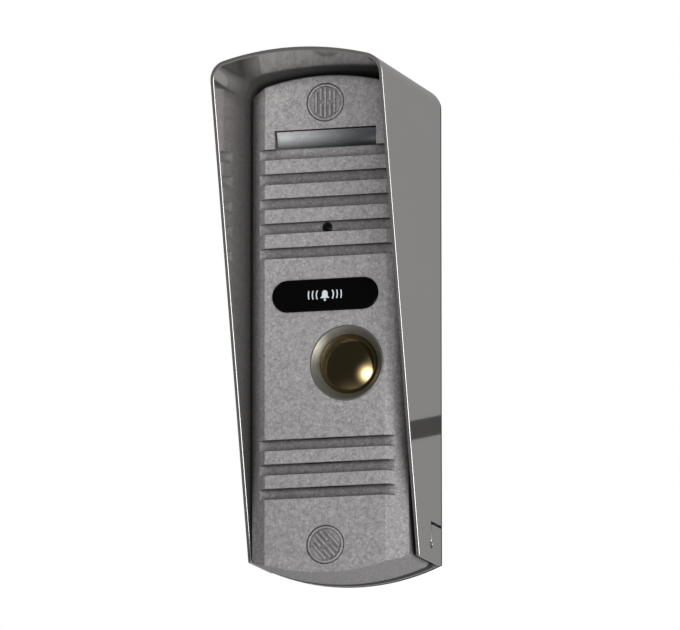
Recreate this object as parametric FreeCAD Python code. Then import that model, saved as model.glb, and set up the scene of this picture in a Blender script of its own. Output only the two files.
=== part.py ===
"""Video doorbell: a narrow die-cast call panel screwed into a sheet-metal rain hood.

Millimetres. X is right as a visitor sees it, Y points into the wall, Z is up. The wall is the plane Y = 0
and the origin is the middle of the rear face, level with the middle of the panel.
"""

import FreeCAD, Part
import math
import os

V = FreeCAD.Vector
BACK = V(0, 1, 0)

# ---- Layers from the wall outwards
GASKET_T = 1.2        # foam against the wall
SHEET = 1.0           # hood sheet metal
COVER_T = 3.4         # black rear cover
HOUSING_D = 21.0      # die-cast front housing
COVER_PLATE_T = 2.0
SPIGOT_D = 2.0        # how far the rear cover reaches into the housing
BOARD_STAND = 4.8     # main board's rear face ahead of the housing's rear plane
BOARD_T = 1.6

# ---- Panel outline
PANEL_W = 39.6
PANEL_H = 122.0
END_R = 54.0          # radius of the domed top and bottom ends
CORNER_R = 1.6
WALL = 2.0
CHAMFER_W = 4.5       # sloping side strips beside the flat face
CHAMFER_D = 4.3
EDGE_R = 0.7          # soft cast edges along the face
END_EDGE_R = 0.5      # and at its domed ends

# ---- Grooves across the face
GROOVE_D = 1.72
GROOVE_H = 2.7
UNDER_GROOVE = 1.5    # wall left behind a groove's floor
UPPER_GROOVES = 5
LOWER_GROOVES = 3
UPPER_PITCH = 6.1
LOWER_PITCH = 5.95
UPPER_MARGIN = 17.7   # top apex to first groove
LOWER_MARGIN = 32.9   # bottom apex to the lower group's first groove
CAMERA_GROOVE = 3     # counted from 0
MIC_GROOVE = 4
PORT_H = 1.0          # hidden sound ports in the grooves' upper walls
PORT_SKIN = 1.0
SPEAKER_PORT_W = 12.0
MIC_PORT_W = 3.0

# ---- Light window
WINDOW_MARGIN = 2.45  # from each edge of the flat face
WINDOW_H = 4.45
WINDOW_GAP = 0.05
WINDOW_SET_BACK = 0.45   # top of the bar's front, behind the face
WINDOW_LIP = 0.25     # foot of the bar's front, ahead of the grooves' floor
HOLLOW_IN = 0.35      # deepest part of its hollow front
HOLLOW_UP = 0.3
SLOT_EDGE = 0.7

# ---- Name plate
NAME_MARGIN = 1.9     # from each edge of the flat face
NAME_H = 7.8
NAME_T = 1.0
NAME_RECESS = 0.9
TAPE_T = 0.2
NAME_DROP = 5.5       # below the upper grooves

# ---- Bell button
BUTTON_MARGIN = 0.7   # bezel to the flat face's right edge
BUTTON_DROP = 3.8     # name plate to bezel
DISH_W = 2.1          # sloping ring around the dome
BEZEL_RIM = 0.35
BEZEL_PROUD = 0.15
DISH_D = 1.8
SLEEVE_WALL = 1.4
SLEEVE_D = 5.4        # face to the sleeve's inner end
DOME_R = 7.1
DOME_H = 2.8
DOME_SET_BACK = 1.5
DOME_SKIRT = 3.4
DOME_WALL = 0.5
DOME_GAP = 0.08       # running clearance in the sleeve
REST_GAP = 0.05
SEAL_T = 0.6
FLANGE_T = 0.8
FLANGE_LAP = 0.9
TRAVEL = 1.2
SPRING_TURNS = 5
SPRING_WIRE_R = 0.35
SPRING_R = 5.4

# ---- Screws and caps
SCREW_INSET = 6.8     # mounting screw to the panel's apex
CAP_R = 4.75
CAP_T = 1.2
CAP_PROUD = 0.2
M4_R = 2.0
M4_HEAD_R = 3.6
M4_HEAD_T = 2.6
HEAD_BORE_R = 4.1
BOSS_WALL = 1.3
M2H_R = 1.25          # cover screws, M2.5
M2H_HEAD_R = 2.3
M2H_HEAD_T = 1.5
M2_R = 1.0
M2_HEAD_R = 1.9
M2_HEAD_T = 1.3
THREAD_GAP = 0.02
HOLE_GAP = 0.2
NUT_R = 4.0
NUT_SHANK_R = 3.0
NUT_COLLAR_T = 1.9
WALL_SCREW_R = 2.25
WALL_SCREW_SPACING = 76.0

# ---- Hood
HOOD_GAP = 0.9        # panel side to hood side
HOOD_HEADROOM = 2.0   # panel apex to the hood roof's outer apex
HOOD_TOP_R = 72.0
HOOD_CORNER_R = 4.8
HOOD_DEPTH_TOP = 51.6    # from the wall, level with DEPTH_SPAN above the middle
HOOD_DEPTH_LOW = 18.6    # and the same distance below it
DEPTH_SPAN = 60.0
HOOD_LIFT = 4.2       # hood sides end this far above the panel's lower apex
TAB_L = 8.7           # lanced locking tab, from the rear edge
TAB_TOP = 9.8         # above the side's lower edge
TAB_END = 4.0
SLIT = 0.6
TAB_HOLE_R = 0.9

# ---- Cable entry
CABLE_Z = -20.0
CABLE_DOOR_HALF_W = 8.5    # opening in the rear cover
CABLE_DOOR_HALF_H = 7.0
GROMMET_BORE_R = 3.0
GROMMET_R = 5.0
GROMMET_FLANGE_R = 6.5
GROMMET_FLANGE_T = 0.9

# ---- Inside
SPEAKER_R = 12.5
SPEAKER_FRAME_T = 4.2
SPEAKER_GASKET_T = 0.8
SPEAKER_RIM_W = 1.8
SPEAKER_RIM_T = 1.2
COIL_R = 3.6
MAGNET_R = 7.4
MAGNET_T = 2.2
LEAD_R = 0.4
LEAD_TURN = math.radians(52)
MIC_R = 3.0
BOOT_WALL = 0.9
PIN_R = 0.32
WIRES = 4
SOCKET_HALF_W = 6.2   # wire header
SOCKET_HALF_H = 2.9
SOCKET_WALL = 0.8
SOCKET_D = 5.2
TRIM_W = 6.4
TRIM_WELL = 1.2       # how deep the rotor sits
TRIM_PROUD = 0.6
TRIM_T = 2.4
TRIM_ROTOR_R = 2.0
TRIM_X = 8.0
TRIM_Z = 12.0
LED_R = 1.5
LED_COUNT = 5
LED_MARGIN = 2.85     # last LED's axis to the window's end
LED_LENGTH = 4.4
LED_HOLDER_T = 3.2
LED_COLLAR_W = 0.35
LED_COLLAR_T = 0.8
LED_BOARD_T = 1.0
PIN_PITCH = 2.5
HEADER_X = -6.45      # light board's pin strip
HEADER_T = 2.5
HEADER_HALF = 1.27
PINHOLE_R = 1.3
LENS_TIP_R = 1.15
BARREL_R = 3.45
HOLDER_HALF = 6.0
CAMERA_BOARD_T = 1.0
CAMERA_HALF_W = 8.2
CAMERA_HALF_H = 11.0
SENSOR_HALF = 3.4
SENSOR_T = 0.9
HOLDER_D = 4.6
HOLDER_WALL = 1.2
ROOM_HALF = 4.2       # hollow around the sensor
ROOM_D = 2.4
LENS_R = 0.88
LENS_SEAT_R = 0.9
LENS_BALL_R = 1.6     # curve of the front lens
CAMERA_GAP = 1.6      # between camera board and main board

# ---- Worked-out planes and places
PLATE_BACK = -GASKET_T
COVER_BACK = PLATE_BACK - SHEET
HOUSING_BACK = COVER_BACK - COVER_T
FACE = HOUSING_BACK - HOUSING_D
FLOOR = FACE + GROOVE_D
INNER_FACE = FLOOR + UNDER_GROOVE
BOARD_BACK = HOUSING_BACK - BOARD_STAND
BOARD_FRONT = BOARD_BACK - BOARD_T
HALF_W = PANEL_W / 2
FACE_HALF_W = HALF_W - CHAMFER_W
WINDOW_W = 2 * (FACE_HALF_W - WINDOW_MARGIN)
NAME_W = 2 * (FACE_HALF_W - NAME_MARGIN)
BEZEL_R = DOME_R + DISH_W
BUTTON_X = FACE_HALF_W - BUTTON_MARGIN - BEZEL_R
LED_PITCH = (WINDOW_W - 2 * LED_MARGIN) / (LED_COUNT - 1)
APEX = PANEL_H / 2
UPPER_TOP = APEX - UPPER_MARGIN
LOWER_TOP = LOWER_MARGIN - APEX
UPPER_END = UPPER_TOP - (UPPER_GROOVES - 1) * UPPER_PITCH - GROOVE_H
CAMERA_Z = UPPER_TOP - CAMERA_GROOVE * UPPER_PITCH - GROOVE_H / 2
SPEAKER_Z = LOWER_TOP - ((LOWER_GROOVES - 1) * LOWER_PITCH + GROOVE_H) / 2
NAME_Z = UPPER_END - NAME_DROP - NAME_H / 2
BUTTON_Z = NAME_Z - NAME_H / 2 - BUTTON_DROP - BEZEL_R
SCREW_Z = APEX - SCREW_INSET
BOSS_R = HEAD_BORE_R + BOSS_WALL
SLEEVE_R = DOME_R + DOME_GAP + SLEEVE_WALL
SLEEVE_END = FACE + SLEEVE_D
DOME_BASE = FACE + DOME_SET_BACK
FLANGE_FRONT = SLEEVE_END + REST_GAP + SEAL_T
FLANGE_BACK = FLANGE_FRONT + FLANGE_T
FLANGE_R = DOME_R + FLANGE_LAP
CHAMFER_TURN = math.atan2(CHAMFER_W, CHAMFER_D)
BOARD_HALF_W = HALF_W - WALL - 1.0
BOARD_TOP = SCREW_Z - BOSS_R - 0.8
POST_R = 2.3
POST_X = BOARD_HALF_W - POST_R - 0.1
POST_TOP_Z = UPPER_TOP - 5.8
POST_LOW_Z = 3.0 - BOARD_TOP
COVER_BOSS_R = 2.7
COVER_SCREW_X = HALF_W - WALL - COVER_BOSS_R - 1.3
COVER_SCREW_Z = APEX - 9.0
HOOD_HALF_W = HALF_W + HOOD_GAP + SHEET
HOOD_APEX = APEX + HOOD_HEADROOM
HOOD_LOW = HOOD_LIFT - APEX
WINDOW_Z = UPPER_TOP + WINDOW_H / 2
LED_BOARD_FRONT = INNER_FACE + LED_LENGTH
LED_HALF_W = LED_PITCH * (LED_COUNT - 1) / 2 + 3.2
LED_LOW = WINDOW_Z - 3.3
LED_TOP = WINDOW_Z + 2.6
CAMERA_BACK = BOARD_FRONT - CAMERA_GAP
CAMERA_FRONT = CAMERA_BACK - CAMERA_BOARD_T
LENS_TIP = FLOOR + 0.3
CONE_BACK = INNER_FACE + 1.4
MIC_Z = UPPER_TOP - MIC_GROOVE * UPPER_PITCH + PORT_H / 2
MIC_X = -(HALF_W - WALL - MIC_R - BOOT_WALL - 2.3)


# ---- Helpers
def box(x0, x1, y0, y1, z0, z1):
    return Part.makeBox(x1 - x0, y1 - y0, z1 - z0, V(x0, y0, z0))


def rod(x, z, radius, y0, y1):
    """A cylinder along Y, from y0 back to y1."""
    return Part.makeCylinder(radius, y1 - y0, V(x, y0, z), BACK)


def tube(x, z, outer, inner, y0, y1):
    return rod(x, z, outer, y0, y1).cut(rod(x, z, inner, y0 - 1, y1 + 1))


def cone(x, z, r_front, r_back, y0, y1):
    return Part.makeCone(r_front, r_back, y1 - y0, V(x, y0, z), BACK)


def line(a, b):
    return Part.LineSegment(V(*a), V(*b)).toShape()


def arc(a, b, c):
    return Part.Arc(V(*a), V(*b), V(*c)).toShape()


def turned(points, x, z):
    """A solid turned about the axis along Y through (x, z), from (radius, y) points."""
    corners = [V(x + r, y, z) for r, y in points]
    face = Part.Face(Part.makePolygon(corners + corners[:1]))
    return face.revolve(V(x, 0, z), BACK, 360)


def end_points(half_w, apex, radius, corner):
    """Right half of a domed end: side, middle of the corner, shoulder."""
    centre = apex - radius
    rise = math.sqrt((radius - corner) ** 2 - (half_w - corner) ** 2)
    lean = math.atan2(rise, half_w - corner)
    side = (half_w, centre + rise)
    middle = (
        half_w - corner + corner * math.cos(lean / 2),
        centre + rise + corner * math.sin(lean / 2),
    )
    shoulder = (radius * math.cos(lean), centre + radius * math.sin(lean))
    return side, middle, shoulder


def outline(half_w, top, low, y):
    """Closed face in the plane y: straight sides between two domed ends, each (apex, radius, corner)."""
    edges = []
    (ts, tm, tt), (ls, lm, lt) = end_points(half_w, *top), end_points(half_w, *low)
    right = [(ts[0], y, ts[1]), (tm[0], y, tm[1]), (tt[0], y, tt[1])]
    left = [(-x, y, z) for x, y, z in right]
    low_right = [(ls[0], y, -ls[1]), (lm[0], y, -lm[1]), (lt[0], y, -lt[1])]
    low_left = [(-x, y, z) for x, y, z in low_right]
    if top[2] > 0:
        edges.append(arc(*right))
    edges.append(arc(right[2], (0, y, top[0]), left[2]))
    if top[2] > 0:
        edges.append(arc(*reversed(left)))
    edges.append(line(left[0], low_left[0]))
    if low[2] > 0:
        edges.append(arc(*low_left))
    edges.append(arc(low_left[2], (0, y, -low[0]), low_right[2]))
    if low[2] > 0:
        edges.append(arc(*reversed(low_right)))
    edges.append(line(low_right[0], right[0]))
    return Part.Face(Part.Wire(edges))


def panel_block(inset, y0, y1):
    """The panel's outline, moved in by inset, between two planes."""
    end = (APEX - inset, END_R - inset, max(CORNER_R - inset, 0))
    return outline(HALF_W - inset, end, end, y0).extrude(V(0, y1 - y0, 0))


def panel_ring(outer_inset, inner_inset, y0, y1):
    return panel_block(outer_inset, y0, y1).cut(panel_block(inner_inset, y0 - 1, y1 + 1))


def side_profile(inset, front, back, edge_r):
    """Section across the panel: flat face, sloping strips and straight sides, as a tall prism."""
    half = HALF_W - inset
    slope_back = FACE + CHAMFER_D + inset * math.tan(CHAMFER_TURN / 2)
    face_half = half - (slope_back - front) * math.tan(CHAMFER_TURN)
    right = [(half, back), (half, slope_back), (face_half, front)]
    points = right + [(-x, y) for x, y in reversed(right)]
    wire = Part.makePolygon([V(x, y, 0) for x, y in points + points[:1]])
    prism = Part.Face(wire).extrude(V(0, 0, 2 * PANEL_H))
    prism.translate(V(0, 0, -PANEL_H))
    if edge_r > 0:
        bends = [(-face_half, front), (face_half, front)]
        prism = prism.makeFillet(edge_r, [e for e in prism.Edges if is_upright_at(e, bends)])
    return prism


def is_upright_at(edge, places):
    a, b = edge.Vertexes[0].Point, edge.Vertexes[-1].Point
    upright = abs(a.x - b.x) < 1e-6 and abs(a.y - b.y) < 1e-6
    return upright and any(math.hypot(a.x - x, a.y - y) < 1e-4 for x, y in places)


def stadium(x, z, width, height, y0, y1):
    """A flat bar with full-round ends."""
    r = height / 2
    reach = width / 2 - r
    middle = box(x - reach, x + reach, y0, y1, z - r, z + r)
    return middle.fuse([rod(x - reach, z, r, y0, y1), rod(x + reach, z, r, y0, y1)]).removeSplitter()


def pan_screw(x, z, head_r, head_t, shank_r, head_seat, length, points_back):
    """Screw along Y. The head's flat side is at head_seat; the shank runs back, or forward."""
    if points_back:
        head = rod(x, z, head_r, head_seat - head_t, head_seat)
        shank = rod(x, z, shank_r, head_seat, head_seat + length)
        cross_y = (head_seat - head_t - 0.1, head_seat - head_t / 2)
    else:
        head = rod(x, z, head_r, head_seat, head_seat + head_t)
        shank = rod(x, z, shank_r, head_seat - length, head_seat)
        cross_y = (head_seat + head_t / 2, head_seat + head_t + 0.1)
    bar, arm = head_r * 0.14, head_r * 0.6
    cross = box(x - arm, x + arm, *cross_y, z - bar, z + bar)
    cross = cross.fuse(box(x - bar, x + bar, *cross_y, z - arm, z + arm))
    return head.fuse(shank).cut(cross).removeSplitter()


def save(name, shape):
    """Writes one node; groups of like solids are saved as a compound."""
    if isinstance(shape, list):
        shape = Part.makeCompound(shape)
    if not shape.isValid():
        print("not valid:", name)
    shape.exportStep(os.path.join("parts", name + ".step"))


# ---- Places shared by several pieces
def groove_tops():
    upper = [UPPER_TOP - i * UPPER_PITCH for i in range(UPPER_GROOVES)]
    return upper, [LOWER_TOP - i * LOWER_PITCH for i in range(LOWER_GROOVES)]


def cover_screw_places():
    return [(x, z) for x in (-COVER_SCREW_X, COVER_SCREW_X) for z in (-COVER_SCREW_Z, COVER_SCREW_Z)]


def board_screw_places():
    return [(x, z) for x in (-POST_X, POST_X) for z in (POST_LOW_Z, POST_TOP_Z)]


def cap_places():
    return [("top_cap", SCREW_Z), ("bottom_cap", -SCREW_Z)]


def barrel_radius(y):
    """Radius of the lens barrel's tapered nose."""
    return LENS_TIP_R + (BARREL_R - LENS_TIP_R) * (y - LENS_TIP) / (CONE_BACK - LENS_TIP)


COVER_SCREW_SEAT = COVER_BACK - M2H_HEAD_T - 0.1
COVER_SCREW_L = 8.0
BOARD_SCREW_L = 6.0
HEAD_SEAT = FACE + CAP_T + M4_HEAD_T + 0.2


# ---- Front housing
def soften_ends(shell):
    """Rounds the flat face's edge at both domed ends."""
    ends = [e for e in shell.Edges if is_end_edge(e)]
    return shell.makeFillet(END_EDGE_R, ends)


def is_end_edge(edge):
    middle = edge.valueAt((edge.FirstParameter + edge.LastParameter) / 2)
    in_face = abs(middle.y - FACE) < 1e-6 and abs(middle.x) < 1e-6
    return in_face and abs(abs(middle.z) - APEX) < 1e-6


def sound_port(x, top, width):
    """Opens in a groove's upper wall and passes behind the rib's skin."""
    return box(x - width / 2, x + width / 2, FACE + PORT_SKIN, INNER_FACE + 0.1, top, top + PORT_H)


def front_housing():
    block = panel_block(0, FACE, HOUSING_BACK)
    shell = soften_ends(block.common(side_profile(0, FACE, HOUSING_BACK, EDGE_R)))
    hollow = panel_block(WALL, INNER_FACE, HOUSING_BACK + 1)
    hollow = hollow.common(side_profile(WALL, INNER_FACE, HOUSING_BACK + 1, 0))
    shell = shell.cut(hollow)

    bosses = [rod(0, z, BOSS_R, INNER_FACE - 0.5, HOUSING_BACK) for _, z in cap_places()]
    bosses += [rod(x, z, COVER_BOSS_R, INNER_FACE - 0.5, HOUSING_BACK) for x, z in cover_screw_places()]
    bosses += [rod(x, z, POST_R, INNER_FACE - 0.5, BOARD_FRONT) for x, z in board_screw_places()]
    shell = shell.fuse([b.common(block) for b in bosses])

    cuts = []
    upper, lower = groove_tops()
    for top in upper + lower:
        cuts.append(box(-HALF_W, HALF_W, FACE - 1, FLOOR, top - GROOVE_H, top))
    for top in lower:
        cuts.append(sound_port(0, top, SPEAKER_PORT_W))
    cuts.append(sound_port(MIC_X, upper[MIC_GROOVE], MIC_PORT_W))

    half = WINDOW_W / 2
    cuts.append(box(-half, half, FACE - 1, FLOOR, UPPER_TOP - 0.1, UPPER_TOP + WINDOW_H))
    edge = SLOT_EDGE
    cuts.append(
        box(edge - half, half - edge, FLOOR - 0.1, INNER_FACE + 0.1, UPPER_TOP + edge, UPPER_TOP + WINDOW_H - edge)
    )
    cuts.append(rod(0, CAMERA_Z, PINHOLE_R, FACE, INNER_FACE))
    cuts.append(cone(0, CAMERA_Z, PINHOLE_R, barrel_radius(INNER_FACE) + 0.3, LENS_TIP, INNER_FACE))
    cuts.append(stadium(0, NAME_Z, NAME_W + 0.1, NAME_H + 0.1, FACE - 1, FACE + NAME_RECESS))
    cuts.append(rod(BUTTON_X, BUTTON_Z, BEZEL_R + 0.05, FACE - 1, FACE + DISH_D + 0.4))
    cuts.append(rod(BUTTON_X, BUTTON_Z, SLEEVE_R + 0.05, FACE, INNER_FACE + 0.1))
    for _, z in cap_places():
        cuts.append(rod(0, z, CAP_R, FACE - 1, FACE + CAP_T))
        cuts.append(rod(0, z, HEAD_BORE_R, FACE, HEAD_SEAT))
        cuts.append(rod(0, z, M4_R + HOLE_GAP, FACE, HOUSING_BACK + 1))
    for x, z in cover_screw_places():
        deep = COVER_SCREW_SEAT - COVER_SCREW_L - 0.6
        cuts.append(rod(x, z, M2H_R + THREAD_GAP, deep, HOUSING_BACK + 1))
    for x, z in board_screw_places():
        deep = BOARD_BACK - BOARD_SCREW_L - 0.6
        cuts.append(rod(x, z, M2_R + THREAD_GAP, deep, BOARD_FRONT + 1))
    return shell.cut(cuts).removeSplitter()


# ---- Light window and night light
def light_window():
    """Clear bar with a hollow curved front, and a tongue through the wall's slot."""
    half = WINDOW_W / 2 - WINDOW_GAP
    low, top = UPPER_TOP + WINDOW_GAP, UPPER_TOP + WINDOW_H - WINDOW_GAP
    lip = FLOOR - WINDOW_LIP
    front = FACE + WINDOW_SET_BACK
    hollow = ((front + lip) / 2 + HOLLOW_IN, (low + top) / 2 + HOLLOW_UP)
    edges = [
        line((-half, FLOOR, low), (-half, lip, low)),
        arc((-half, lip, low), (-half, *hollow), (-half, front, top)),
        line((-half, front, top), (-half, FLOOR, top)),
        line((-half, FLOOR, top), (-half, FLOOR, low)),
    ]
    bar = Part.Face(Part.Wire(edges)).extrude(V(2 * half, 0, 0))
    edge = SLOT_EDGE + WINDOW_GAP
    reach = WINDOW_W / 2 - edge
    tongue = box(-reach, reach, FLOOR - 0.2, INNER_FACE, UPPER_TOP + edge, UPPER_TOP + WINDOW_H - edge)
    return bar.fuse(tongue).removeSplitter()


def led_places():
    return [(i - (LED_COUNT - 1) / 2) * LED_PITCH for i in range(LED_COUNT)]


def night_light():
    holder = box(-LED_HALF_W, LED_HALF_W, INNER_FACE, INNER_FACE + LED_HOLDER_T, LED_LOW, LED_TOP)
    holder = holder.cut([rod(x, WINDOW_Z, LED_R + 0.1, INNER_FACE - 1, LED_BOARD_FRONT) for x in led_places()])
    save("led_holder", holder)

    leds = []
    for x in led_places():
        shoulder = INNER_FACE + LED_R
        body = rod(x, WINDOW_Z, LED_R, shoulder, LED_BOARD_FRONT)
        dome = Part.makeSphere(LED_R, V(x, shoulder, WINDOW_Z))
        collar = rod(x, WINDOW_Z, LED_R + LED_COLLAR_W, LED_BOARD_FRONT - LED_COLLAR_T, LED_BOARD_FRONT)
        leds.append(body.fuse([dome, collar]).removeSplitter())
    save("night_light_leds", leds)

    board_back = LED_BOARD_FRONT + LED_BOARD_T
    save("led_board", box(-LED_HALF_W, LED_HALF_W, LED_BOARD_FRONT, board_back, LED_LOW, LED_TOP))
    reach = PIN_PITCH + 0.05
    low, top = WINDOW_Z - HEADER_HALF, WINDOW_Z + HEADER_HALF
    strip = box(HEADER_X - reach, HEADER_X + reach, BOARD_FRONT - HEADER_T, BOARD_FRONT, low, top)
    pins = [rod(HEADER_X + x, WINDOW_Z, PIN_R, board_back, BOARD_FRONT) for x in (-PIN_PITCH / 2, PIN_PITCH / 2)]
    save("led_header", strip.fuse(pins).removeSplitter())


# ---- Camera
def camera():
    w, h = CAMERA_HALF_W, CAMERA_HALF_H
    save("camera_board", box(-w, w, CAMERA_FRONT, CAMERA_BACK, CAMERA_Z - h, CAMERA_Z + h))
    save("camera_header", box(-5, 5, CAMERA_BACK, BOARD_FRONT, CAMERA_Z + 6.5, CAMERA_Z + 9.5))
    half = SENSOR_HALF
    save("image_sensor", box(-half, half, CAMERA_FRONT - SENSOR_T, CAMERA_FRONT, CAMERA_Z - half, CAMERA_Z + half))

    half = HOLDER_HALF
    tube_front = CONE_BACK + 0.6
    base = box(-half, half, CAMERA_FRONT - HOLDER_D, CAMERA_FRONT, CAMERA_Z - half, CAMERA_Z + half)
    neck = rod(0, CAMERA_Z, BARREL_R + HOLDER_WALL, tube_front, CAMERA_FRONT - HOLDER_D)
    half = ROOM_HALF
    room = box(-half, half, CAMERA_FRONT - ROOM_D, CAMERA_FRONT + 1, CAMERA_Z - half, CAMERA_Z + half)
    bore = rod(0, CAMERA_Z, BARREL_R + 0.03, tube_front - 1, CAMERA_FRONT - ROOM_D + 0.1)
    save("lens_holder", base.fuse(neck).cut([room, bore]).removeSplitter())

    barrel_back = CAMERA_FRONT - ROOM_D
    barrel = rod(0, CAMERA_Z, BARREL_R, CONE_BACK, barrel_back)
    barrel = barrel.fuse(cone(0, CAMERA_Z, LENS_TIP_R, BARREL_R, LENS_TIP, CONE_BACK))
    light_path = cone(0, CAMERA_Z, 0.5, 2.4, LENS_TIP + 0.6, barrel_back + 0.1)
    seat = rod(0, CAMERA_Z, LENS_SEAT_R, LENS_TIP - 0.1, LENS_TIP + 0.7)
    save("lens_barrel", barrel.cut([light_path, seat]).removeSplitter())

    glass = rod(0, CAMERA_Z, LENS_R, LENS_TIP + 0.15, LENS_TIP + 0.7)
    bulge = Part.makeSphere(LENS_BALL_R, V(0, LENS_TIP + LENS_BALL_R + 0.03, CAMERA_Z))
    save("front_lens", glass.common(bulge))

    gasket_back = INNER_FACE + 1.0
    gasket_bore = barrel_radius(gasket_back) + 0.05
    save("lens_gasket", tube(0, CAMERA_Z, BARREL_R + 1.5, gasket_bore, INNER_FACE, gasket_back))


# ---- Name plate and caps
def name_plate():
    tape_back = FACE + NAME_RECESS
    plate_back = tape_back - TAPE_T
    save("name_plate", stadium(0, NAME_Z, NAME_W, NAME_H, plate_back - NAME_T, plate_back))
    save("name_plate_tape", stadium(0, NAME_Z, NAME_W - 1.6, NAME_H - 1.6, plate_back, tape_back))


def screw_caps():
    """Push-in discs over the mounting screws, each with a short ring that grips the bore."""
    for name, z in cap_places():
        disc = rod(0, z, CAP_R - 0.05, FACE - CAP_PROUD, FACE + CAP_T - 0.2)
        grip = tube(0, z, HEAD_BORE_R - 0.02, HEAD_BORE_R - 0.45, FACE + CAP_T - 0.3, FACE + CAP_T)
        save(name, disc.fuse(grip).removeSplitter())


# ---- Bell button
def button_bezel():
    """Dished ring with a sleeve through the wall that guides the dome."""
    bore = DOME_R + DOME_GAP
    points = [
        (bore, FACE + DISH_D),
        (BEZEL_R - BEZEL_RIM, FACE - BEZEL_PROUD),
        (BEZEL_R, FACE - BEZEL_PROUD),
        (BEZEL_R, FACE + DISH_D + 0.4),
        (SLEEVE_R, FACE + DISH_D + 0.4),
        (SLEEVE_R, SLEEVE_END),
        (bore, SLEEVE_END),
    ]
    save("button_bezel", turned(points, BUTTON_X, BUTTON_Z))
    save("bezel_retaining_washer", tube(BUTTON_X, BUTTON_Z, SLEEVE_R + 1.1, SLEEVE_R, INNER_FACE, INNER_FACE + 0.6))


def dome_cap(radius, height, base, skirt_end):
    """A spherical cap on a short cylinder."""
    ball_r = (radius**2 + height**2) / (2 * height)
    ball = Part.makeSphere(ball_r, V(BUTTON_X, base - height + ball_r, BUTTON_Z))
    nose = ball.common(rod(BUTTON_X, BUTTON_Z, radius, base - height - 1, base))
    return nose.fuse(rod(BUTTON_X, BUTTON_Z, radius, base, skirt_end)).removeSplitter()


PLUNGER_FRONT = FLANGE_BACK + 1.3
SWITCH_FRONT = PLUNGER_FRONT + TRAVEL + 1.8
PLUNGER_R = 1.7
NOSE_R = 2.4          # stem's end that meets the plunger
SWITCH_HALF = 3.1
SWITCH_FLOOR = 0.6


def bell_button():
    skirt_end = DOME_BASE + DOME_SKIRT
    cap = dome_cap(DOME_R, DOME_H, DOME_BASE, skirt_end)
    inside = dome_cap(DOME_R - DOME_WALL, DOME_H - DOME_WALL, DOME_BASE, skirt_end + 1)
    save("button_dome", cap.cut(inside).removeSplitter())

    stem = rod(BUTTON_X, BUTTON_Z, DOME_R - DOME_WALL, DOME_BASE, FLANGE_FRONT)
    flange = rod(BUTTON_X, BUTTON_Z, FLANGE_R, FLANGE_FRONT, FLANGE_BACK)
    nose = rod(BUTTON_X, BUTTON_Z, NOSE_R, FLANGE_BACK, PLUNGER_FRONT - REST_GAP)
    save("button_stem", stem.fuse([flange, nose]).removeSplitter())
    seal = tube(BUTTON_X, BUTTON_Z, FLANGE_R, DOME_R - DOME_WALL, FLANGE_FRONT - SEAL_T, FLANGE_FRONT)
    seal = seal.cut(rod(BUTTON_X, BUTTON_Z, DOME_R, skirt_end - 5, skirt_end))
    save("button_seal", seal)

    save("button_spring", spring(FLANGE_BACK, BOARD_FRONT))

    half = SWITCH_HALF
    body = box(BUTTON_X - half, BUTTON_X + half, SWITCH_FRONT, BOARD_FRONT, BUTTON_Z - half, BUTTON_Z + half)
    floor = BOARD_FRONT - SWITCH_FLOOR
    body = body.cut(rod(BUTTON_X, BUTTON_Z, PLUNGER_R + 0.06, SWITCH_FRONT - 1, floor))
    save("switch_body", body)
    save("switch_plunger", rod(BUTTON_X, BUTTON_Z, PLUNGER_R, PLUNGER_FRONT, floor - TRAVEL - 0.1))


def spring(front, back):
    """Coil spring between two seats, along Y about the button's axis."""
    r = SPRING_WIRE_R
    rise = back - front - 2 * r - 0.04
    helix = Part.makeHelix(rise / SPRING_TURNS, rise, SPRING_R)
    start = Part.Circle(V(SPRING_R, 0, 0), V(0, 1, 0), r).toShape()
    coil = Part.Wire(helix.Edges).makePipeShell([Part.Wire(start)], True, True)
    coil.rotate(V(0, 0, 0), V(1, 0, 0), -90)
    coil.translate(V(BUTTON_X, front + r + 0.02, BUTTON_Z))
    return coil


# ---- Sound
def speaker():
    front = INNER_FACE + SPEAKER_GASKET_T
    back = front + SPEAKER_FRAME_T
    r, opening = SPEAKER_R, SPEAKER_R - SPEAKER_RIM_W
    save("speaker_gasket", tube(0, SPEAKER_Z, r, opening, INNER_FACE, front))
    frame = rod(0, SPEAKER_Z, r, front, front + SPEAKER_RIM_T)
    basket = cone(0, SPEAKER_Z, r - 1.4, MAGNET_R + 0.2, front + SPEAKER_RIM_T, back)
    well = cone(0, SPEAKER_Z, r - 2.8, MAGNET_R - 0.8, front + 0.9, back - 0.6)
    ledge = rod(0, SPEAKER_Z, opening, front - 1, front + 0.95)
    back_hole = rod(0, SPEAKER_Z, COIL_R + 0.5, front, back + 1)
    save("speaker_frame", frame.fuse(basket).cut([well, ledge, back_hole]).removeSplitter())

    rim = opening - 0.1
    cone_points = [
        (0, front + 2.2), (COIL_R, front + 2.4), (rim - 1.8, front + 0.75), (rim - 0.9, front + 0.4),
        (rim, front + 0.75), (rim, front + 0.95), (rim - 0.9, front + 0.65), (rim - 1.8, front + 0.95),
        (COIL_R, front + 2.7), (COIL_R, front + 3.6), (COIL_R - 0.3, front + 3.6), (COIL_R - 0.3, front + 2.65),
        (0, front + 2.45),
    ]
    save("speaker_cone", turned(cone_points, 0, SPEAKER_Z))
    pole = rod(0, SPEAKER_Z, COIL_R - 0.7, back - 0.9, back + 0.1)
    magnet = rod(0, SPEAKER_Z, MAGNET_R, back, back + MAGNET_T).fuse(pole)
    save("speaker_magnet", magnet.removeSplitter())
    out, up = (r - 0.7) * math.cos(LEAD_TURN), (r - 0.7) * math.sin(LEAD_TURN)
    save("speaker_leads", [rod(x, SPEAKER_Z + up, LEAD_R, front + SPEAKER_RIM_T, BOARD_FRONT) for x in (-out, out)])


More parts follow.
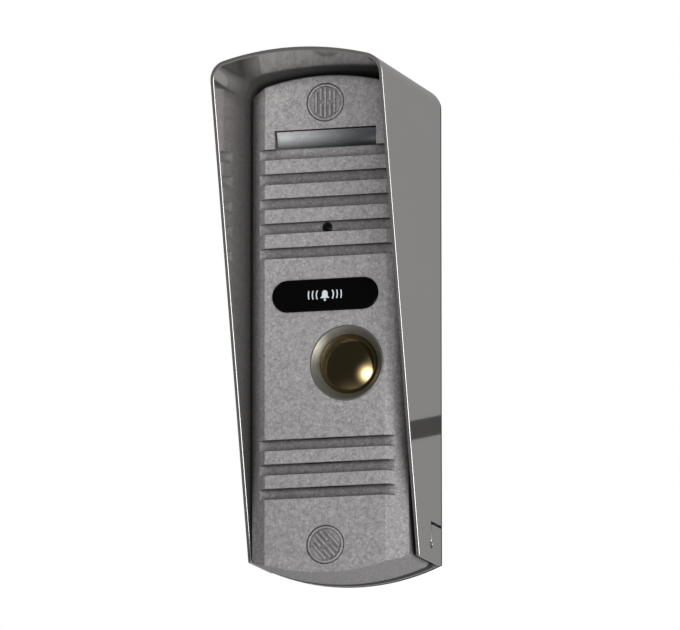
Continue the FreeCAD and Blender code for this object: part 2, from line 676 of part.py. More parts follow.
def microphone():
    boot_r = MIC_R + BOOT_WALL
    front = INNER_FACE + 0.6
    boot = rod(MIC_X, MIC_Z, boot_r, INNER_FACE, front + 2.5)
    boot = boot.cut([rod(MIC_X, MIC_Z, MIC_R, front, front + 3), rod(MIC_X, MIC_Z, 1.7, INNER_FACE - 1, front + 1)])
    save("microphone_boot", boot)
    capsule = rod(MIC_X, MIC_Z, MIC_R, front, front + 2.7)
    pins = [rod(MIC_X + x, MIC_Z, PIN_R, front + 2.6, BOARD_FRONT) for x in (-1.27, 1.27)]
    save("microphone", capsule.fuse(pins).removeSplitter())


# ---- Main board
def main_board():
    board = box(-BOARD_HALF_W, BOARD_HALF_W, BOARD_FRONT, BOARD_BACK, -BOARD_TOP, BOARD_TOP)
    board = board.cut([rod(x, z, M2_R + HOLE_GAP, BOARD_FRONT - 1, BOARD_BACK + 1) for x, z in board_screw_places()])
    save("main_board", board)

    left = -BOARD_HALF_W
    chips = [(left + 7.5, NAME_Z - 3, 9.0, 7.0, 1.5), (left + 5.5, BUTTON_Z - 6, 5.0, 6.0, 1.4)]
    chips += [(left + 5.0, BUTTON_Z + 4, 4.0, 5.0, 1.2), (left + 13.5, NAME_Z + 3.2, 3.0, 3.0, 0.9)]
    solids = []
    for x, z, w, h, t in chips:
        chip = box(x - w / 2, x + w / 2, BOARD_FRONT - t, BOARD_FRONT, z - h / 2, z + h / 2)
        legs = [
            box(x - w / 2 - 0.8, x + w / 2 + 0.8, BOARD_FRONT - 0.25, BOARD_FRONT, z + s - 0.2, z + s + 0.2)
            for s in (-h / 4, 0, h / 4)
        ]
        solids.append(chip.fuse(legs).removeSplitter())
    save("board_chips", solids)

    right = BOARD_HALF_W
    cans = [(right - 3.4, NAME_Z - 1.5), (right - 9.6, NAME_Z + 0.5), (left + 15.7, NAME_Z - 2.8)]
    save("capacitors", [rod(x, z, 2.5, BOARD_FRONT - 6.5, BOARD_FRONT) for x, z in cans])

    small = []
    for i in range(6):
        z = CAMERA_Z - 9 + 3.2 * i
        for x in (left + 1.6, right - 1.6):
            small.append(box(x - 0.65, x + 0.65, BOARD_BACK, BOARD_BACK + 0.5, z - 1.0, z + 1.0))
    save("board_small_parts", small)

    w, h, wall = SOCKET_HALF_W, SOCKET_HALF_H, SOCKET_WALL
    shell = box(-w, w, BOARD_BACK, BOARD_BACK + SOCKET_D, CABLE_Z - h, CABLE_Z + h)
    w, h = w - wall, h - wall
    shell = shell.cut(box(-w, w, BOARD_BACK + 1.4, BOARD_BACK + SOCKET_D + 1, CABLE_Z - h, CABLE_Z + h))
    posts = [(i - (WIRES - 1) / 2) * PIN_PITCH for i in range(WIRES)]
    save("wire_header", shell.cut([rod(x, CABLE_Z, PIN_R, BOARD_BACK - 1, BOARD_BACK + 3) for x in posts]))
    save("wire_header_pins", [rod(x, CABLE_Z, PIN_R, BOARD_BACK, BOARD_BACK + SOCKET_D - 1) for x in posts])


def trimmer(name, x):
    """Small rotary trimmer set from behind with a screwdriver."""
    half = TRIM_W / 2
    body = box(x - half, x + half, BOARD_BACK, BOARD_BACK + TRIM_T, TRIM_Z - half, TRIM_Z + half)
    floor = BOARD_BACK + TRIM_T - TRIM_WELL
    body = body.cut(rod(x, TRIM_Z, TRIM_ROTOR_R + 0.05, floor, BOARD_BACK + TRIM_T + 1))
    save(name + "_trimmer", body)
    end = BOARD_BACK + TRIM_T + TRIM_PROUD
    rotor = rod(x, TRIM_Z, TRIM_ROTOR_R, floor + 0.05, end)
    slot = box(x - 1.5, x + 1.5, end - 0.6, end + 1, TRIM_Z - 0.25, TRIM_Z + 0.25)
    save(name + "_trimmer_rotor", rotor.cut(slot))


# ---- Rear cover and seals
SEAL_INSET = 0.6
SEAL_W = 0.9
SEAL_D = 0.8
RIM_W = 2.4


def rear_cover():
    plate_front = COVER_BACK - COVER_PLATE_T
    cover = panel_block(0, plate_front, COVER_BACK)
    cover = cover.fuse(panel_ring(0, RIM_W, HOUSING_BACK, plate_front + 0.1))
    spigot = panel_ring(WALL + 0.15, WALL + 1.5, HOUSING_BACK - SPIGOT_D, plate_front + 0.1)
    bosses = [rod(x, z, COVER_BOSS_R + 0.3, FACE, HOUSING_BACK) for x, z in cover_screw_places()]
    bosses += [rod(0, z, BOSS_R + 0.3, FACE, HOUSING_BACK) for _, z in cap_places()]
    cover = cover.fuse(spigot.cut(bosses))
    pads = [rod(x, z, COVER_BOSS_R, HOUSING_BACK, plate_front + 0.1) for x, z in cover_screw_places()]
    cover = cover.fuse(pads)

    inset = SEAL_INSET - 0.03
    cuts = [panel_ring(inset, SEAL_INSET + SEAL_W + 0.03, HOUSING_BACK - 1, HOUSING_BACK + SEAL_D)]
    for x, z in cover_screw_places():
        cuts.append(rod(x, z, M2H_HEAD_R + HOLE_GAP, COVER_SCREW_SEAT, COVER_BACK + 1))
        cuts.append(rod(x, z, M2H_R + HOLE_GAP, HOUSING_BACK - 1, COVER_BACK + 1))
    for _, z in cap_places():
        cuts.append(rod(0, z, NUT_R + 0.3, HOUSING_BACK - 3, COVER_BACK + 1))
    for z in (-WALL_SCREW_SPACING / 2, WALL_SCREW_SPACING / 2):
        cuts.append(rod(0, z, WALL_SCREW_R * 2 + 0.2, plate_front - 1, COVER_BACK + 1))
    for x in (-TRIM_X, TRIM_X):
        cuts.append(rod(x, TRIM_Z, TRIM_ROTOR_R + 0.3, plate_front - 1, COVER_BACK + 1))
    w, h = CABLE_DOOR_HALF_W, CABLE_DOOR_HALF_H
    cuts.append(box(-w, w, plate_front - 1, COVER_BACK + 1, CABLE_Z - h, CABLE_Z + h))
    save("rear_cover", cover.cut(cuts).removeSplitter())
    save("housing_seal", panel_ring(SEAL_INSET, SEAL_INSET + SEAL_W, HOUSING_BACK, HOUSING_BACK + SEAL_D))


# ---- Hood, gasket and grommet
def hood_depth(z):
    slope = (HOOD_DEPTH_TOP - HOOD_DEPTH_LOW) / (2 * DEPTH_SPAN)
    return HOOD_DEPTH_LOW + slope * (z + DEPTH_SPAN)


def hood_outline(inset, y0, y1):
    """Hood shape: domed roof with rounded corners, and the panel's own domed lower end."""
    top = (HOOD_APEX - inset, HOOD_TOP_R - inset, max(HOOD_CORNER_R - inset, 0))
    low = (APEX, END_R, 0)
    return outline(HOOD_HALF_W - inset, top, low, y0).extrude(V(0, y1 - y0, 0))


def hood_shell():
    reach = -hood_depth(HOOD_APEX) - 5
    shell = hood_outline(0, reach, PLATE_BACK).cut(hood_outline(SHEET, reach - 1, PLATE_BACK + 1))
    wide = HOOD_HALF_W + 1
    shell = shell.cut(box(-wide, wide, reach - 1, 1, -2 * PANEL_H, HOOD_LOW))
    low, high = -2 * PANEL_H, 2 * PANEL_H
    corners = [
        (-wide, -hood_depth(low), low), (-wide, -hood_depth(high), high),
        (-wide, -hood_depth(high) - 300, high), (-wide, -hood_depth(low) - 300, low),
    ]
    front = Part.Face(Part.makePolygon([V(*p) for p in corners + corners[:1]]))
    shell = shell.cut(front.extrude(V(2 * wide, 0, 0)))

    cuts = []
    tab_front = PLATE_BACK - TAB_L
    for side in (-1, 1):
        x0, x1 = sorted((side * (HOOD_HALF_W - SHEET - 0.5), side * (HOOD_HALF_W + 0.5)))
        slit_top = HOOD_LOW + TAB_TOP
        cuts.append(box(x0, x1, tab_front, 1, slit_top - SLIT, slit_top))
        cuts.append(box(x0, x1, tab_front, tab_front + SLIT, HOOD_LOW + TAB_END, slit_top))
        hole = Part.makeCylinder(TAB_HOLE_R, x1 - x0, V(x0, tab_front + SLIT / 2, HOOD_LOW + TAB_END), V(1, 0, 0))
        cuts.append(hole)
    return shell.cut(cuts).removeSplitter()


def back_plate():
    plate = hood_outline(SHEET, COVER_BACK, PLATE_BACK)
    holes = [rod(0, z, WALL_SCREW_R, COVER_BACK - 1, 0) for z in (-WALL_SCREW_SPACING / 2, WALL_SCREW_SPACING / 2)]
    holes += [rod(0, z, NUT_SHANK_R, COVER_BACK - 1, 0) for _, z in cap_places()]
    holes.append(rod(0, CABLE_Z, GROMMET_R, COVER_BACK - 1, 0))
    save("hood_back_plate", plate.cut(holes))


def wall_gasket():
    gasket = hood_outline(0.2, PLATE_BACK, 0)
    holes = [rod(0, z, WALL_SCREW_R, PLATE_BACK - 1, 1) for z in (-WALL_SCREW_SPACING / 2, WALL_SCREW_SPACING / 2)]
    holes += [rod(0, z, NUT_SHANK_R, PLATE_BACK - 1, 1) for _, z in cap_places()]
    holes.append(rod(0, CABLE_Z, GROMMET_FLANGE_R + 0.2, PLATE_BACK - 1, 1))
    save("wall_gasket", gasket.cut(holes))


def cable_grommet():
    f, t = GROMMET_FLANGE_R, GROMMET_FLANGE_T
    body = rod(0, CABLE_Z, GROMMET_R, COVER_BACK - t, PLATE_BACK + t)
    body = body.fuse([rod(0, CABLE_Z, f, COVER_BACK - t, COVER_BACK), rod(0, CABLE_Z, f, PLATE_BACK, PLATE_BACK + t)])
    save("cable_grommet", body.cut(rod(0, CABLE_Z, GROMMET_BORE_R, FACE, 1)).removeSplitter())


# ---- Fasteners
def fasteners():
    heads = (M2H_HEAD_R, M2H_HEAD_T, M2H_R)
    screws = [pan_screw(x, z, *heads, COVER_SCREW_SEAT, COVER_SCREW_L, False) for x, z in cover_screw_places()]
    save("cover_screws", screws)
    heads = (M2_HEAD_R, M2_HEAD_T, M2_R)
    save("board_screws", [pan_screw(x, z, *heads, BOARD_BACK, BOARD_SCREW_L, False) for x, z in board_screw_places()])
    length = PLATE_BACK - 0.2 - HEAD_SEAT
    heads = (M4_HEAD_R, M4_HEAD_T, M4_R)
    save("mounting_screws", [pan_screw(0, z, *heads, HEAD_SEAT, length, True) for _, z in cap_places()])
    nuts = []
    for _, z in cap_places():
        collar = rod(0, z, NUT_R, COVER_BACK - NUT_COLLAR_T, COVER_BACK)
        shank = rod(0, z, NUT_SHANK_R, COVER_BACK - 0.1, PLATE_BACK)
        nuts.append(collar.fuse(shank).cut(rod(0, z, M4_R + THREAD_GAP, FACE, 1)).removeSplitter())
    save("clinch_nuts", nuts)


def main():
    os.makedirs("parts", exist_ok=True)
    save("front_housing", front_housing())
    save("light_window", light_window())
    night_light()
    camera()
    name_plate()
    screw_caps()
    button_bezel()
    bell_button()
    speaker()
    microphone()
    main_board()
    trimmer("volume", -TRIM_X)
    trimmer("microphone", TRIM_X)
    rear_cover()
    save("hood_shell", hood_shell())
    back_plate()
    wall_gasket()
    cable_grommet()
    fasteners()


main()
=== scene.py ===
"""Video doorbell in its rain hood: finishes for every piece, finer visible pieces, and the stage.

Metres. X is right as a visitor sees it, Y points into the wall, Z is up.
"""

import math

import bmesh
import bpy
from bpy.props import FloatProperty, FloatVectorProperty, IntProperty, PointerProperty
from mathutils import Matrix, Vector


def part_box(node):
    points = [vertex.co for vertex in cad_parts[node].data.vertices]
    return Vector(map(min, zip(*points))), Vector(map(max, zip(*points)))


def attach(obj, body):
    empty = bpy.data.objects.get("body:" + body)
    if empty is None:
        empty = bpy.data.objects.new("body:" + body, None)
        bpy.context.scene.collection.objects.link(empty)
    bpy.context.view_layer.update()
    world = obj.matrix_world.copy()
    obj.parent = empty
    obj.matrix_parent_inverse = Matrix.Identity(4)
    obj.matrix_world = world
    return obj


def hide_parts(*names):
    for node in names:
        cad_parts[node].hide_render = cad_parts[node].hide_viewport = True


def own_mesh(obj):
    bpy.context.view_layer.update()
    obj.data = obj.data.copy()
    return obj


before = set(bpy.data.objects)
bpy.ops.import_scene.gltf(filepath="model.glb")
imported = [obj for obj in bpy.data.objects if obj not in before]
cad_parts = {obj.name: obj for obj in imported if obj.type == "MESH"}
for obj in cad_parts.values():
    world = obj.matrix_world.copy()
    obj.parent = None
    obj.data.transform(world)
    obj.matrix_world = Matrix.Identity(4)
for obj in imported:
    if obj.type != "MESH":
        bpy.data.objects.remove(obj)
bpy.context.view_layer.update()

bl_info = {
    "name": "Video Doorbell",
    "version": (1, 0, 0),
    "blender": (4, 5, 0),
    "location": "3D View > Sidebar > Doorbell",
    "description": "A die-cast call panel in a sheet-metal rain hood, with its finishes and stage",
    "category": "Object",
}

MM = 0.001


def linear(code):
    """The linear colour of an sRGB hex code."""
    parts = [int(code[i : i + 2], 16) / 255 for i in (0, 2, 4)]
    return [c / 12.92 if c <= 0.04045 else ((c + 0.055) / 1.055) ** 2.4 for c in parts]


# ---- Settings
def length(name, description, default):
    return FloatProperty(
        name=name,
        description=description,
        default=default,
        min=0.0,
        precision=5,
        subtype="DISTANCE",
        unit="LENGTH",
    )


def colour(name, description, default):
    return FloatVectorProperty(
        name=name, description=description, default=linear(default), size=3, min=0.0, max=1.0, subtype="COLOR"
    )


class DoorbellSizes(bpy.types.PropertyGroup):
    sheet: length("Sheet thickness", "Steel sheet that the hood is bent from", 1.0 * MM)
    hood_low_depth: length(
        "Hood depth at the foot", "From the sheet's rear edge to its front edge", 18.28 * MM
    )
    roof_radius: length("Roof radius", "Radius of the hood's domed roof", 72 * MM)
    hood_corner: length("Hood corner", "Bend between the roof and a side", 4.8 * MM)
    cut_edge: length("Cut edge", "Rounding along the hood's cut edges", 0.3 * MM)
    tab_length: length("Tab length", "Locking tab, from the hood's rear edge", 8.7 * MM)
    tab_top: length("Tab top", "Upper slit above the side's lower edge", 9.8 * MM)
    tab_end: length("Tab end", "Lower end of the tab's front slit above the side's lower edge", 4.0 * MM)
    slit: length("Slit", "Width of the slits around the locking tab", 0.6 * MM)
    tab_hole: length("Slit end hole", "Radius of the hole at the end of the slit", 0.9 * MM)
    dome_height: length("Dome height", "Rise of the bell button's dome", 2.8 * MM)
    dome_wall: length("Dome wall", "Thickness of the button's spun brass", 0.5 * MM)
    dish: length("Dish depth", "How far the ring around the dome slopes in", 1.8 * MM)
    dish_width: length("Dish width", "Width of the sloping ring", 2.1 * MM)
    cap_relief: length("Cap relief", "Height of the ribs on the screw caps", 0.36 * MM)
    groove_depth: length(
        "Groove depth", "From the panel's face to the floors of its cross grooves", 1.72 * MM
    )
    bar_seam: length("Light bar seam", "Shadow gap around the light bar's front", 0.24 * MM)
    bar_hollow: length("Light bar hollow", "Sag of the light bar's hollow front", 0.46 * MM)
    bezel_gap: length("Ring clearance", "Gap between the dome and the ring's sleeve", 0.08 * MM)
    bezel_sleeve: length("Ring sleeve", "Wall of the ring's sleeve", 1.4 * MM)
    bezel_rim: length("Ring rim", "Flat rim around the ring's slope", 0.35 * MM)
    bezel_proud: length("Ring proud", "How far the rim stands proud of the panel's face", 0.15 * MM)
    grommet_bore: length("Grommet bore", "Radius of the wires' way through the grommet", 3.0 * MM)
    grommet_flange: length("Grommet flange", "Thickness of each of the grommet's flanges", 0.9 * MM)
    print_stroke: length("Print stroke", "Line width of the bell symbol on the name bar", 0.3 * MM)
    spring_wire: length("Spring wire", "Thickness of the return spring's wire", 0.7 * MM)
    spring_turns: IntProperty(
        name="Spring turns", description="Turns of the return spring", default=5, min=2, max=12
    )


class DoorbellFinishes(bpy.types.PropertyGroup):
    enamel: colour("Silver enamel", "Flake enamel on the die castings", "C2BFC0")
    enamel_shade: colour("Enamel ground", "Darker ground between the flakes", "8E8B8C")
    steel: colour("Hood steel", "Satin steel sheet", "B9B7B5")
    brass: colour("Brass", "Polished brass of the bell button", "A5936B")
    nickel: colour("Nickel", "Satin nickel of the button's ring", "A5A298")
    plate: colour("Name bar", "Gloss black name bar", "060506")
    print: colour("Print", "Pale ink on the name bar", "C8D2D8")


class DoorbellStage(bpy.types.PropertyGroup):
    azimuth: FloatProperty(
        name="Azimuth",
        description="Camera's turn to the right",
        default=math.radians(16.95),
        subtype="ANGLE",
        unit="ROTATION",
    )
    elevation: FloatProperty(
        name="Elevation",
        description="Camera's height as an angle",
        default=math.radians(-9.78),
        subtype="ANGLE",
        unit="ROTATION",
    )
    distance: length("Distance", "Camera to the middle of the panel", 2.478)
    lens: FloatProperty(
        name="Lens", description="Focal length", default=541.8, min=1.0, subtype="DISTANCE_CAMERA"
    )
    fill: FloatProperty(
        name="Fill",
        description="Broad soft lamp in front",
        default=0.42,
        min=0.0,
        subtype="POWER",
        unit="POWER",
    )
    key: FloatProperty(name="Key glow", description="Low bright window on the right", default=8.5, min=0.0)
    rim: FloatProperty(
        name="Rim glow", description="Glow level with the panel on the right", default=0.4, min=0.0
    )
    below: FloatProperty(
        name="Bounce", description="Light that comes back from the floor", default=0.4, min=0.0
    )
    spin_steps: IntProperty(
        name="Turning steps", description="Steps round a turned piece", default=128, min=24, max=256
    )


# ---- Materials
def add_node(tree, kind, inputs=None, **settings):
    """Adds a node: inputs maps a socket's name or number to a value or to the output that feeds it."""
    node = tree.nodes.new("ShaderNode" + kind)
    for key, value in settings.items():
        setattr(node, key, value)
    for key, value in (inputs or {}).items():
        if isinstance(value, bpy.types.NodeSocket):
            tree.links.new(value, node.inputs[key])
        else:
            node.inputs[key].default_value = value
    return node


def rgba(code):
    return [*(linear(code) if isinstance(code, str) else code), 1.0]


def start_material(name):
    """An empty material, its node tree and the object coordinates that patterns are laid on."""
    material = bpy.data.materials.new(name)
    material.use_nodes = True
    material.node_tree.nodes.clear()
    return material, material.node_tree, add_node(material.node_tree, "TexCoord").outputs["Object"]


def finish_material(material, tree, shader):
    add_node(tree, "OutputMaterial", {"Surface": shader})
    return material


def silver_flake_enamel(finishes):
    """Stoved silver-flake enamel, sprayed on die-cast zinc. Pale and dark flakes about 0.3 mm across sparkle
    in a mottled grey, the palest whitened further by a painted glint, and the film has a fine orange-peel skin.
    Real flakes are nearer 0.1 mm: these are drawn coarser, so that they show."""
    material, tree, place = start_material("silver_flake_enamel")
    flakes = add_node(tree, "TexVoronoi", {"Vector": place, "Scale": 1 / (0.34 * MM)})
    tone = add_node(tree, "SeparateColor", {"Color": flakes.outputs["Color"]})
    mottle = add_node(
        tree, "TexNoise", {"Vector": place, "Scale": 1 / (0.9 * MM), "Detail": 3.0, "Roughness": 0.65}
    )
    cloud = add_node(tree, "MapRange", {"Value": mottle.outputs["Fac"], "From Min": 0.34, "From Max": 0.66})
    both = add_node(tree, "Math", {0: tone.outputs["Red"], 1: 0.45}, operation="MULTIPLY")
    factor = add_node(
        tree, "Math", {0: cloud.outputs["Result"], 1: 0.55, 2: both.outputs[0]}, operation="MULTIPLY_ADD"
    )
    ground = add_node(
        tree,
        "Mix",
        {0: factor.outputs[0], 6: rgba(finishes.enamel_shade), 7: rgba(finishes.enamel)},
        data_type="RGBA",
    )
    # painted glint: the palest flakes are whitened towards E6E3E1
    pale_flake_painted_glint = add_node(
        tree, "MapRange", {"Value": tone.outputs["Green"], "From Min": 0.88, "From Max": 1.0, "To Max": 0.45}
    )
    base = add_node(
        tree, "Mix", {0: pale_flake_painted_glint.outputs["Result"], 6: ground.outputs[2], 7: rgba("E6E3E1")}, data_type="RGBA"
    )
    # painted shade: darkens the enamel's colour within 4.2 mm of another surface, in the grooves and beside the
    # hood's walls
    corner = add_node(tree, "AmbientOcclusion", {"Distance": 4.2 * MM}, samples=8)
    painted_occlusion_shade = add_node(
        tree, "MapRange", {"Value": corner.outputs["AO"], "From Min": 0.3, "From Max": 1.0, "To Min": 0.12}
    )
    shaded = add_node(
        tree, "VectorMath", {0: base.outputs[2], 3: painted_occlusion_shade.outputs["Result"]}, operation="SCALE"
    )
    rough = add_node(
        tree, "MapRange", {"Value": tone.outputs["Blue"], "To Min": 0.34, "To Max": 0.62}
    )
    skin = add_node(tree, "TexNoise", {"Vector": place, "Scale": 1 / (0.55 * MM), "Detail": 2.0})
    edge = add_node(tree, "Bevel", {"Radius": 0.25 * MM}, samples=6)
    tilt = add_node(
        tree,
        "Bump",
        {"Height": tone.outputs["Red"], "Strength": 0.35, "Distance": 0.02 * MM, "Normal": edge.outputs[0]},
    )
    peel = add_node(
        tree,
        "Bump",
        {"Height": skin.outputs["Fac"], "Strength": 0.6, "Distance": 0.05 * MM, "Normal": tilt.outputs[0]},
    )
    shader = add_node(
        tree,
        "BsdfPrincipled",
        {
            "Base Color": shaded.outputs[0],
            "Roughness": rough.outputs["Result"],
            "Metallic": 0.25,
            "Normal": peel.outputs[0],
        },
    )
    return finish_material(material, tree, shader.outputs[0])


def satin_steel_sheet(finishes):
    """Cold-rolled stainless sheet with a satin finish. Soft mirror reflections, faint rolling streaks along its
    length about 0.4 mm apart, and smears about 20 mm wide where it has been handled."""
    material, tree, place = start_material("satin_steel_sheet")
    along = add_node(tree, "Mapping", {"Vector": place, "Scale": (1.0, 1.0, 0.03)})
    streaks = add_node(tree, "TexNoise", {"Vector": along.outputs[0], "Scale": 1 / (0.4 * MM), "Detail": 2.0})
    smears = add_node(
        tree, "TexNoise", {"Vector": place, "Scale": 1 / (22 * MM), "Detail": 4.0, "Distortion": 0.6}
    )
    mixed = add_node(
        tree, "Mix", {0: 0.35, 2: smears.outputs["Fac"], 3: streaks.outputs["Fac"]}, data_type="FLOAT"
    )
    rough = add_node(
        tree,
        "MapRange",
        {"Value": mixed.outputs[0], "From Min": 0.3, "From Max": 0.7, "To Min": 0.06, "To Max": 0.12},
    )
    tone = add_node(
        tree,
        "Mix",
        {0: mixed.outputs[0], 6: rgba([c * 0.9 for c in finishes.steel]), 7: rgba(finishes.steel)},
        data_type="RGBA",
    )
    grain = add_node(
        tree, "Bump", {"Height": streaks.outputs["Fac"], "Strength": 0.12, "Distance": 0.004 * MM}
    )
    shader = add_node(
        tree,
        "BsdfPrincipled",
        {
            "Base Color": tone.outputs[2],
            "Roughness": rough.outputs["Result"],
            "Metallic": 0.8,
            "Normal": grain.outputs[0],
        },
    )
    return finish_material(material, tree, shader.outputs[0])


def metal(name, tone, roughness, grain_mm, wear="808080", bare=1.0):
    """A bare or plated metal. Grain of the given size breaks up its shine, and clouds nine times as wide
    change its roughness and tint."""
    material, tree, place = start_material(name)
    grain = add_node(tree, "TexNoise", {"Vector": place, "Scale": 1 / (grain_mm * MM), "Detail": 3.0})
    dull = add_node(tree, "TexNoise", {"Vector": place, "Scale": 1 / (9 * grain_mm * MM), "Detail": 2.0})
    soft = add_node(
        tree,
        "MapRange",
        {
            "Value": dull.outputs["Fac"],
            "From Min": 0.3,
            "From Max": 0.7,
            "To Min": roughness * 0.8,
            "To Max": roughness * 1.3,
        },
    )
    tint = add_node(
        tree, "MapRange", {"Value": dull.outputs["Fac"], "From Min": 0.5, "From Max": 0.8, "To Max": 0.25}
    )
    base = add_node(tree, "Mix", {0: tint.outputs["Result"], 6: rgba(tone), 7: rgba(wear)}, data_type="RGBA")
    bump = add_node(tree, "Bump", {"Height": grain.outputs["Fac"], "Strength": 0.1, "Distance": 0.01 * MM})
    shader = add_node(
        tree,
        "BsdfPrincipled",
        {
            "Base Color": base.outputs[2],
            "Roughness": soft.outputs["Result"],
            "Metallic": bare,
            "Normal": bump.outputs[0],
        },
    )
    return finish_material(material, tree, shader.outputs[0])


def moulded(name, tone, roughness, grain_mm, depth_mm=0.02, soft=0.0, gloss=0.5):
    """A moulded plastic or rubber: the fine spark-eroded grain of its tool, and slight changes of shade."""
    material, tree, place = start_material(name)
    grain = add_node(tree, "TexNoise", {"Vector": place, "Scale": 1 / (grain_mm * MM), "Detail": 2.0})
    cloud = add_node(tree, "TexNoise", {"Vector": place, "Scale": 1 / (30 * grain_mm * MM), "Detail": 3.0})
    tone = linear(tone) if isinstance(tone, str) else tone
    pale = [min(1.0, c * 1.25) for c in tone]
    base = add_node(tree, "Mix", {0: cloud.outputs["Fac"], 6: rgba(tone), 7: rgba(pale)}, data_type="RGBA")
    rough = add_node(
        tree,
        "MapRange",
        {"Value": grain.outputs["Fac"], "To Min": roughness * 0.85, "To Max": min(1.0, roughness * 1.15)},
    )
    bump = add_node(
        tree, "Bump", {"Height": grain.outputs["Fac"], "Strength": 0.4, "Distance": depth_mm * MM}
    )
    shader = add_node(
        tree,
        "BsdfPrincipled",
        {
            "Base Color": base.outputs[2],
            "Roughness": rough.outputs["Result"],
            "Normal": bump.outputs[0],
            "IOR": 1.5,
            "Sheen Weight": soft,
            "Specular IOR Level": gloss,
        },
    )
    return finish_material(material, tree, shader.outputs[0])


def closed_cell_foam():
    """Die-cut closed-cell EPDM foam: matt charcoal, with open cells of about 0.5 mm on its cut face."""
    material, tree, place = start_material("closed_cell_foam")
    cells = add_node(
        tree, "TexVoronoi", {"Vector": place, "Scale": 1 / (0.5 * MM)}, feature="DISTANCE_TO_EDGE"
    )
    wall = add_node(tree, "MapRange", {"Value": cells.outputs["Distance"], "From Max": 0.12})
    # painted shade: each open cell's colour darkens towards its middle, where shade falls in the hollow
    base = add_node(
        tree, "Mix", {0: wall.outputs["Result"], 6: rgba("2E2F30"), 7: rgba("161718")}, data_type="RGBA"
    )
    bump = add_node(
        tree, "Bump", {"Height": wall.outputs["Result"], "Strength": 0.6, "Distance": 0.12 * MM}, invert=True
    )
    shader = add_node(
        tree,
        "BsdfPrincipled",
        {"Base Color": base.outputs[2], "Roughness": 0.9, "Normal": bump.outputs[0]},
    )
    return finish_material(material, tree, shader.outputs[0])


def clear_moulding(name, tone, roughness, cloud_mm, through):
    """A clear moulded plastic or glass. Faint flow clouding varies its gloss and tint."""
    material, tree, place = start_material(name)
    cloud = add_node(tree, "TexNoise", {"Vector": place, "Scale": 1 / (cloud_mm * MM), "Detail": 2.0})
    rough = add_node(
        tree,
        "MapRange",
        {"Value": cloud.outputs["Fac"], "To Min": roughness * 0.6, "To Max": roughness * 1.4},
    )
    milk = add_node(
        tree,
        "Mix",
        {0: cloud.outputs["Fac"], 6: rgba(tone), 7: rgba([c * 0.85 for c in linear(tone)])},
        data_type="RGBA",
    )
    shader = add_node(
        tree,
        "BsdfPrincipled",
        {
            "Base Color": milk.outputs[2],
            "Roughness": rough.outputs["Result"],
            "IOR": 1.52,
            "Transmission Weight": through,
        },
    )
    return finish_material(material, tree, shader.outputs[0])


def frosted_light_bar():
    """Injection-moulded acrylic with a frosted back and a glossy hollow front. Its colour carries painted light
    and shade: painted light at the left end fades over the bar's length to painted shade at the right, and
    painted shade darkens it towards its foot."""
    material, tree, place = start_material("frosted_acrylic_light_bar")
    low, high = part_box("light_window")
    # ends of the painted light and shade: painted light at the left end, painted shade at the right and at the
    # foot
    painted_light_end, painted_shade_end = low.x - 0.2 * MM, high.x - 1.8 * MM
    painted_shade_foot, painted_shade_top = low.z + 0.25 * MM, high.z - 1.5 * MM
    across = add_node(tree, "SeparateXYZ", {0: place})
    painted_light_fade = add_node(
        tree,
        "MapRange",
        {"Value": across.outputs["X"], "From Min": painted_light_end, "From Max": painted_shade_end},
        interpolation_type="SMOOTHSTEP",
    )
    flow = add_node(tree, "TexNoise", {"Vector": place, "Scale": 1 / (5 * MM), "Detail": 2.0})
    # painted light F4F6F8 at the left end, fading to painted shade 6C7074 at the right
    tone = add_node(
        tree, "Mix", {0: painted_light_fade.outputs["Result"], 6: rgba("F4F6F8"), 7: rgba("6C7074")}, data_type="RGBA"
    )
    # painted shade, darkest at the bar's foot
    depth = add_node(
        tree,
        "MapRange",
        {
            "Value": across.outputs["Z"],
            "From Min": painted_shade_foot,
            "From Max": painted_shade_top,
            "To Min": 0.16,
            "To Max": 1.0,
        },
    )
    painted_light_and_shade = add_node(tree, "VectorMath", {0: tone.outputs[2], 3: depth.outputs["Result"]}, operation="SCALE")
    rough = add_node(tree, "MapRange", {"Value": flow.outputs["Fac"], "To Min": 0.15, "To Max": 0.35})
    shader = add_node(
        tree,
        "BsdfPrincipled",
        {
            "Base Color": painted_light_and_shade.outputs[0],
            "Roughness": rough.outputs["Result"],
            "IOR": 1.49,
            "Transmission Weight": 0.5,
            "Coat Weight": 1.0,
            "Coat Roughness": 0.03,
        },
    )
    return finish_material(material, tree, shader.outputs[0])


def solder_mask():
    """Green solder mask over copper on glass-fibre board: glossy, with paler tracks in a brick pattern and a
    fine weave. The tracks are drawn coarser than real ones."""
    material, tree, place = start_material("green_solder_mask")
    turned = add_node(tree, "Mapping", {"Vector": place, "Rotation": (math.pi / 2, 0, 0)})
    bricks = {
        "Color1": (0, 0, 0, 1),
        "Color2": (0.35, 0.35, 0.35, 1),
        "Mortar": (1, 1, 1, 1),
        "Mortar Size": 0.02,
    }
    tracks = add_node(tree, "TexBrick", {"Vector": turned.outputs[0], "Scale": 1 / (6 * MM), **bricks})
    weave = add_node(tree, "TexNoise", {"Vector": place, "Scale": 1 / (0.5 * MM), "Detail": 1.0})
    base = add_node(
        tree, "Mix", {0: tracks.outputs["Fac"], 6: rgba("0E4A2B"), 7: rgba("2C7A4A")}, data_type="RGBA"
    )
    bump = add_node(tree, "Bump", {"Height": weave.outputs["Fac"], "Strength": 0.3, "Distance": 0.01 * MM})
    shader = add_node(
        tree,
        "BsdfPrincipled",
        {"Base Color": base.outputs[2], "Roughness": 0.28, "Normal": bump.outputs[0], "IOR": 1.5},
    )
    return finish_material(material, tree, shader.outputs[0])


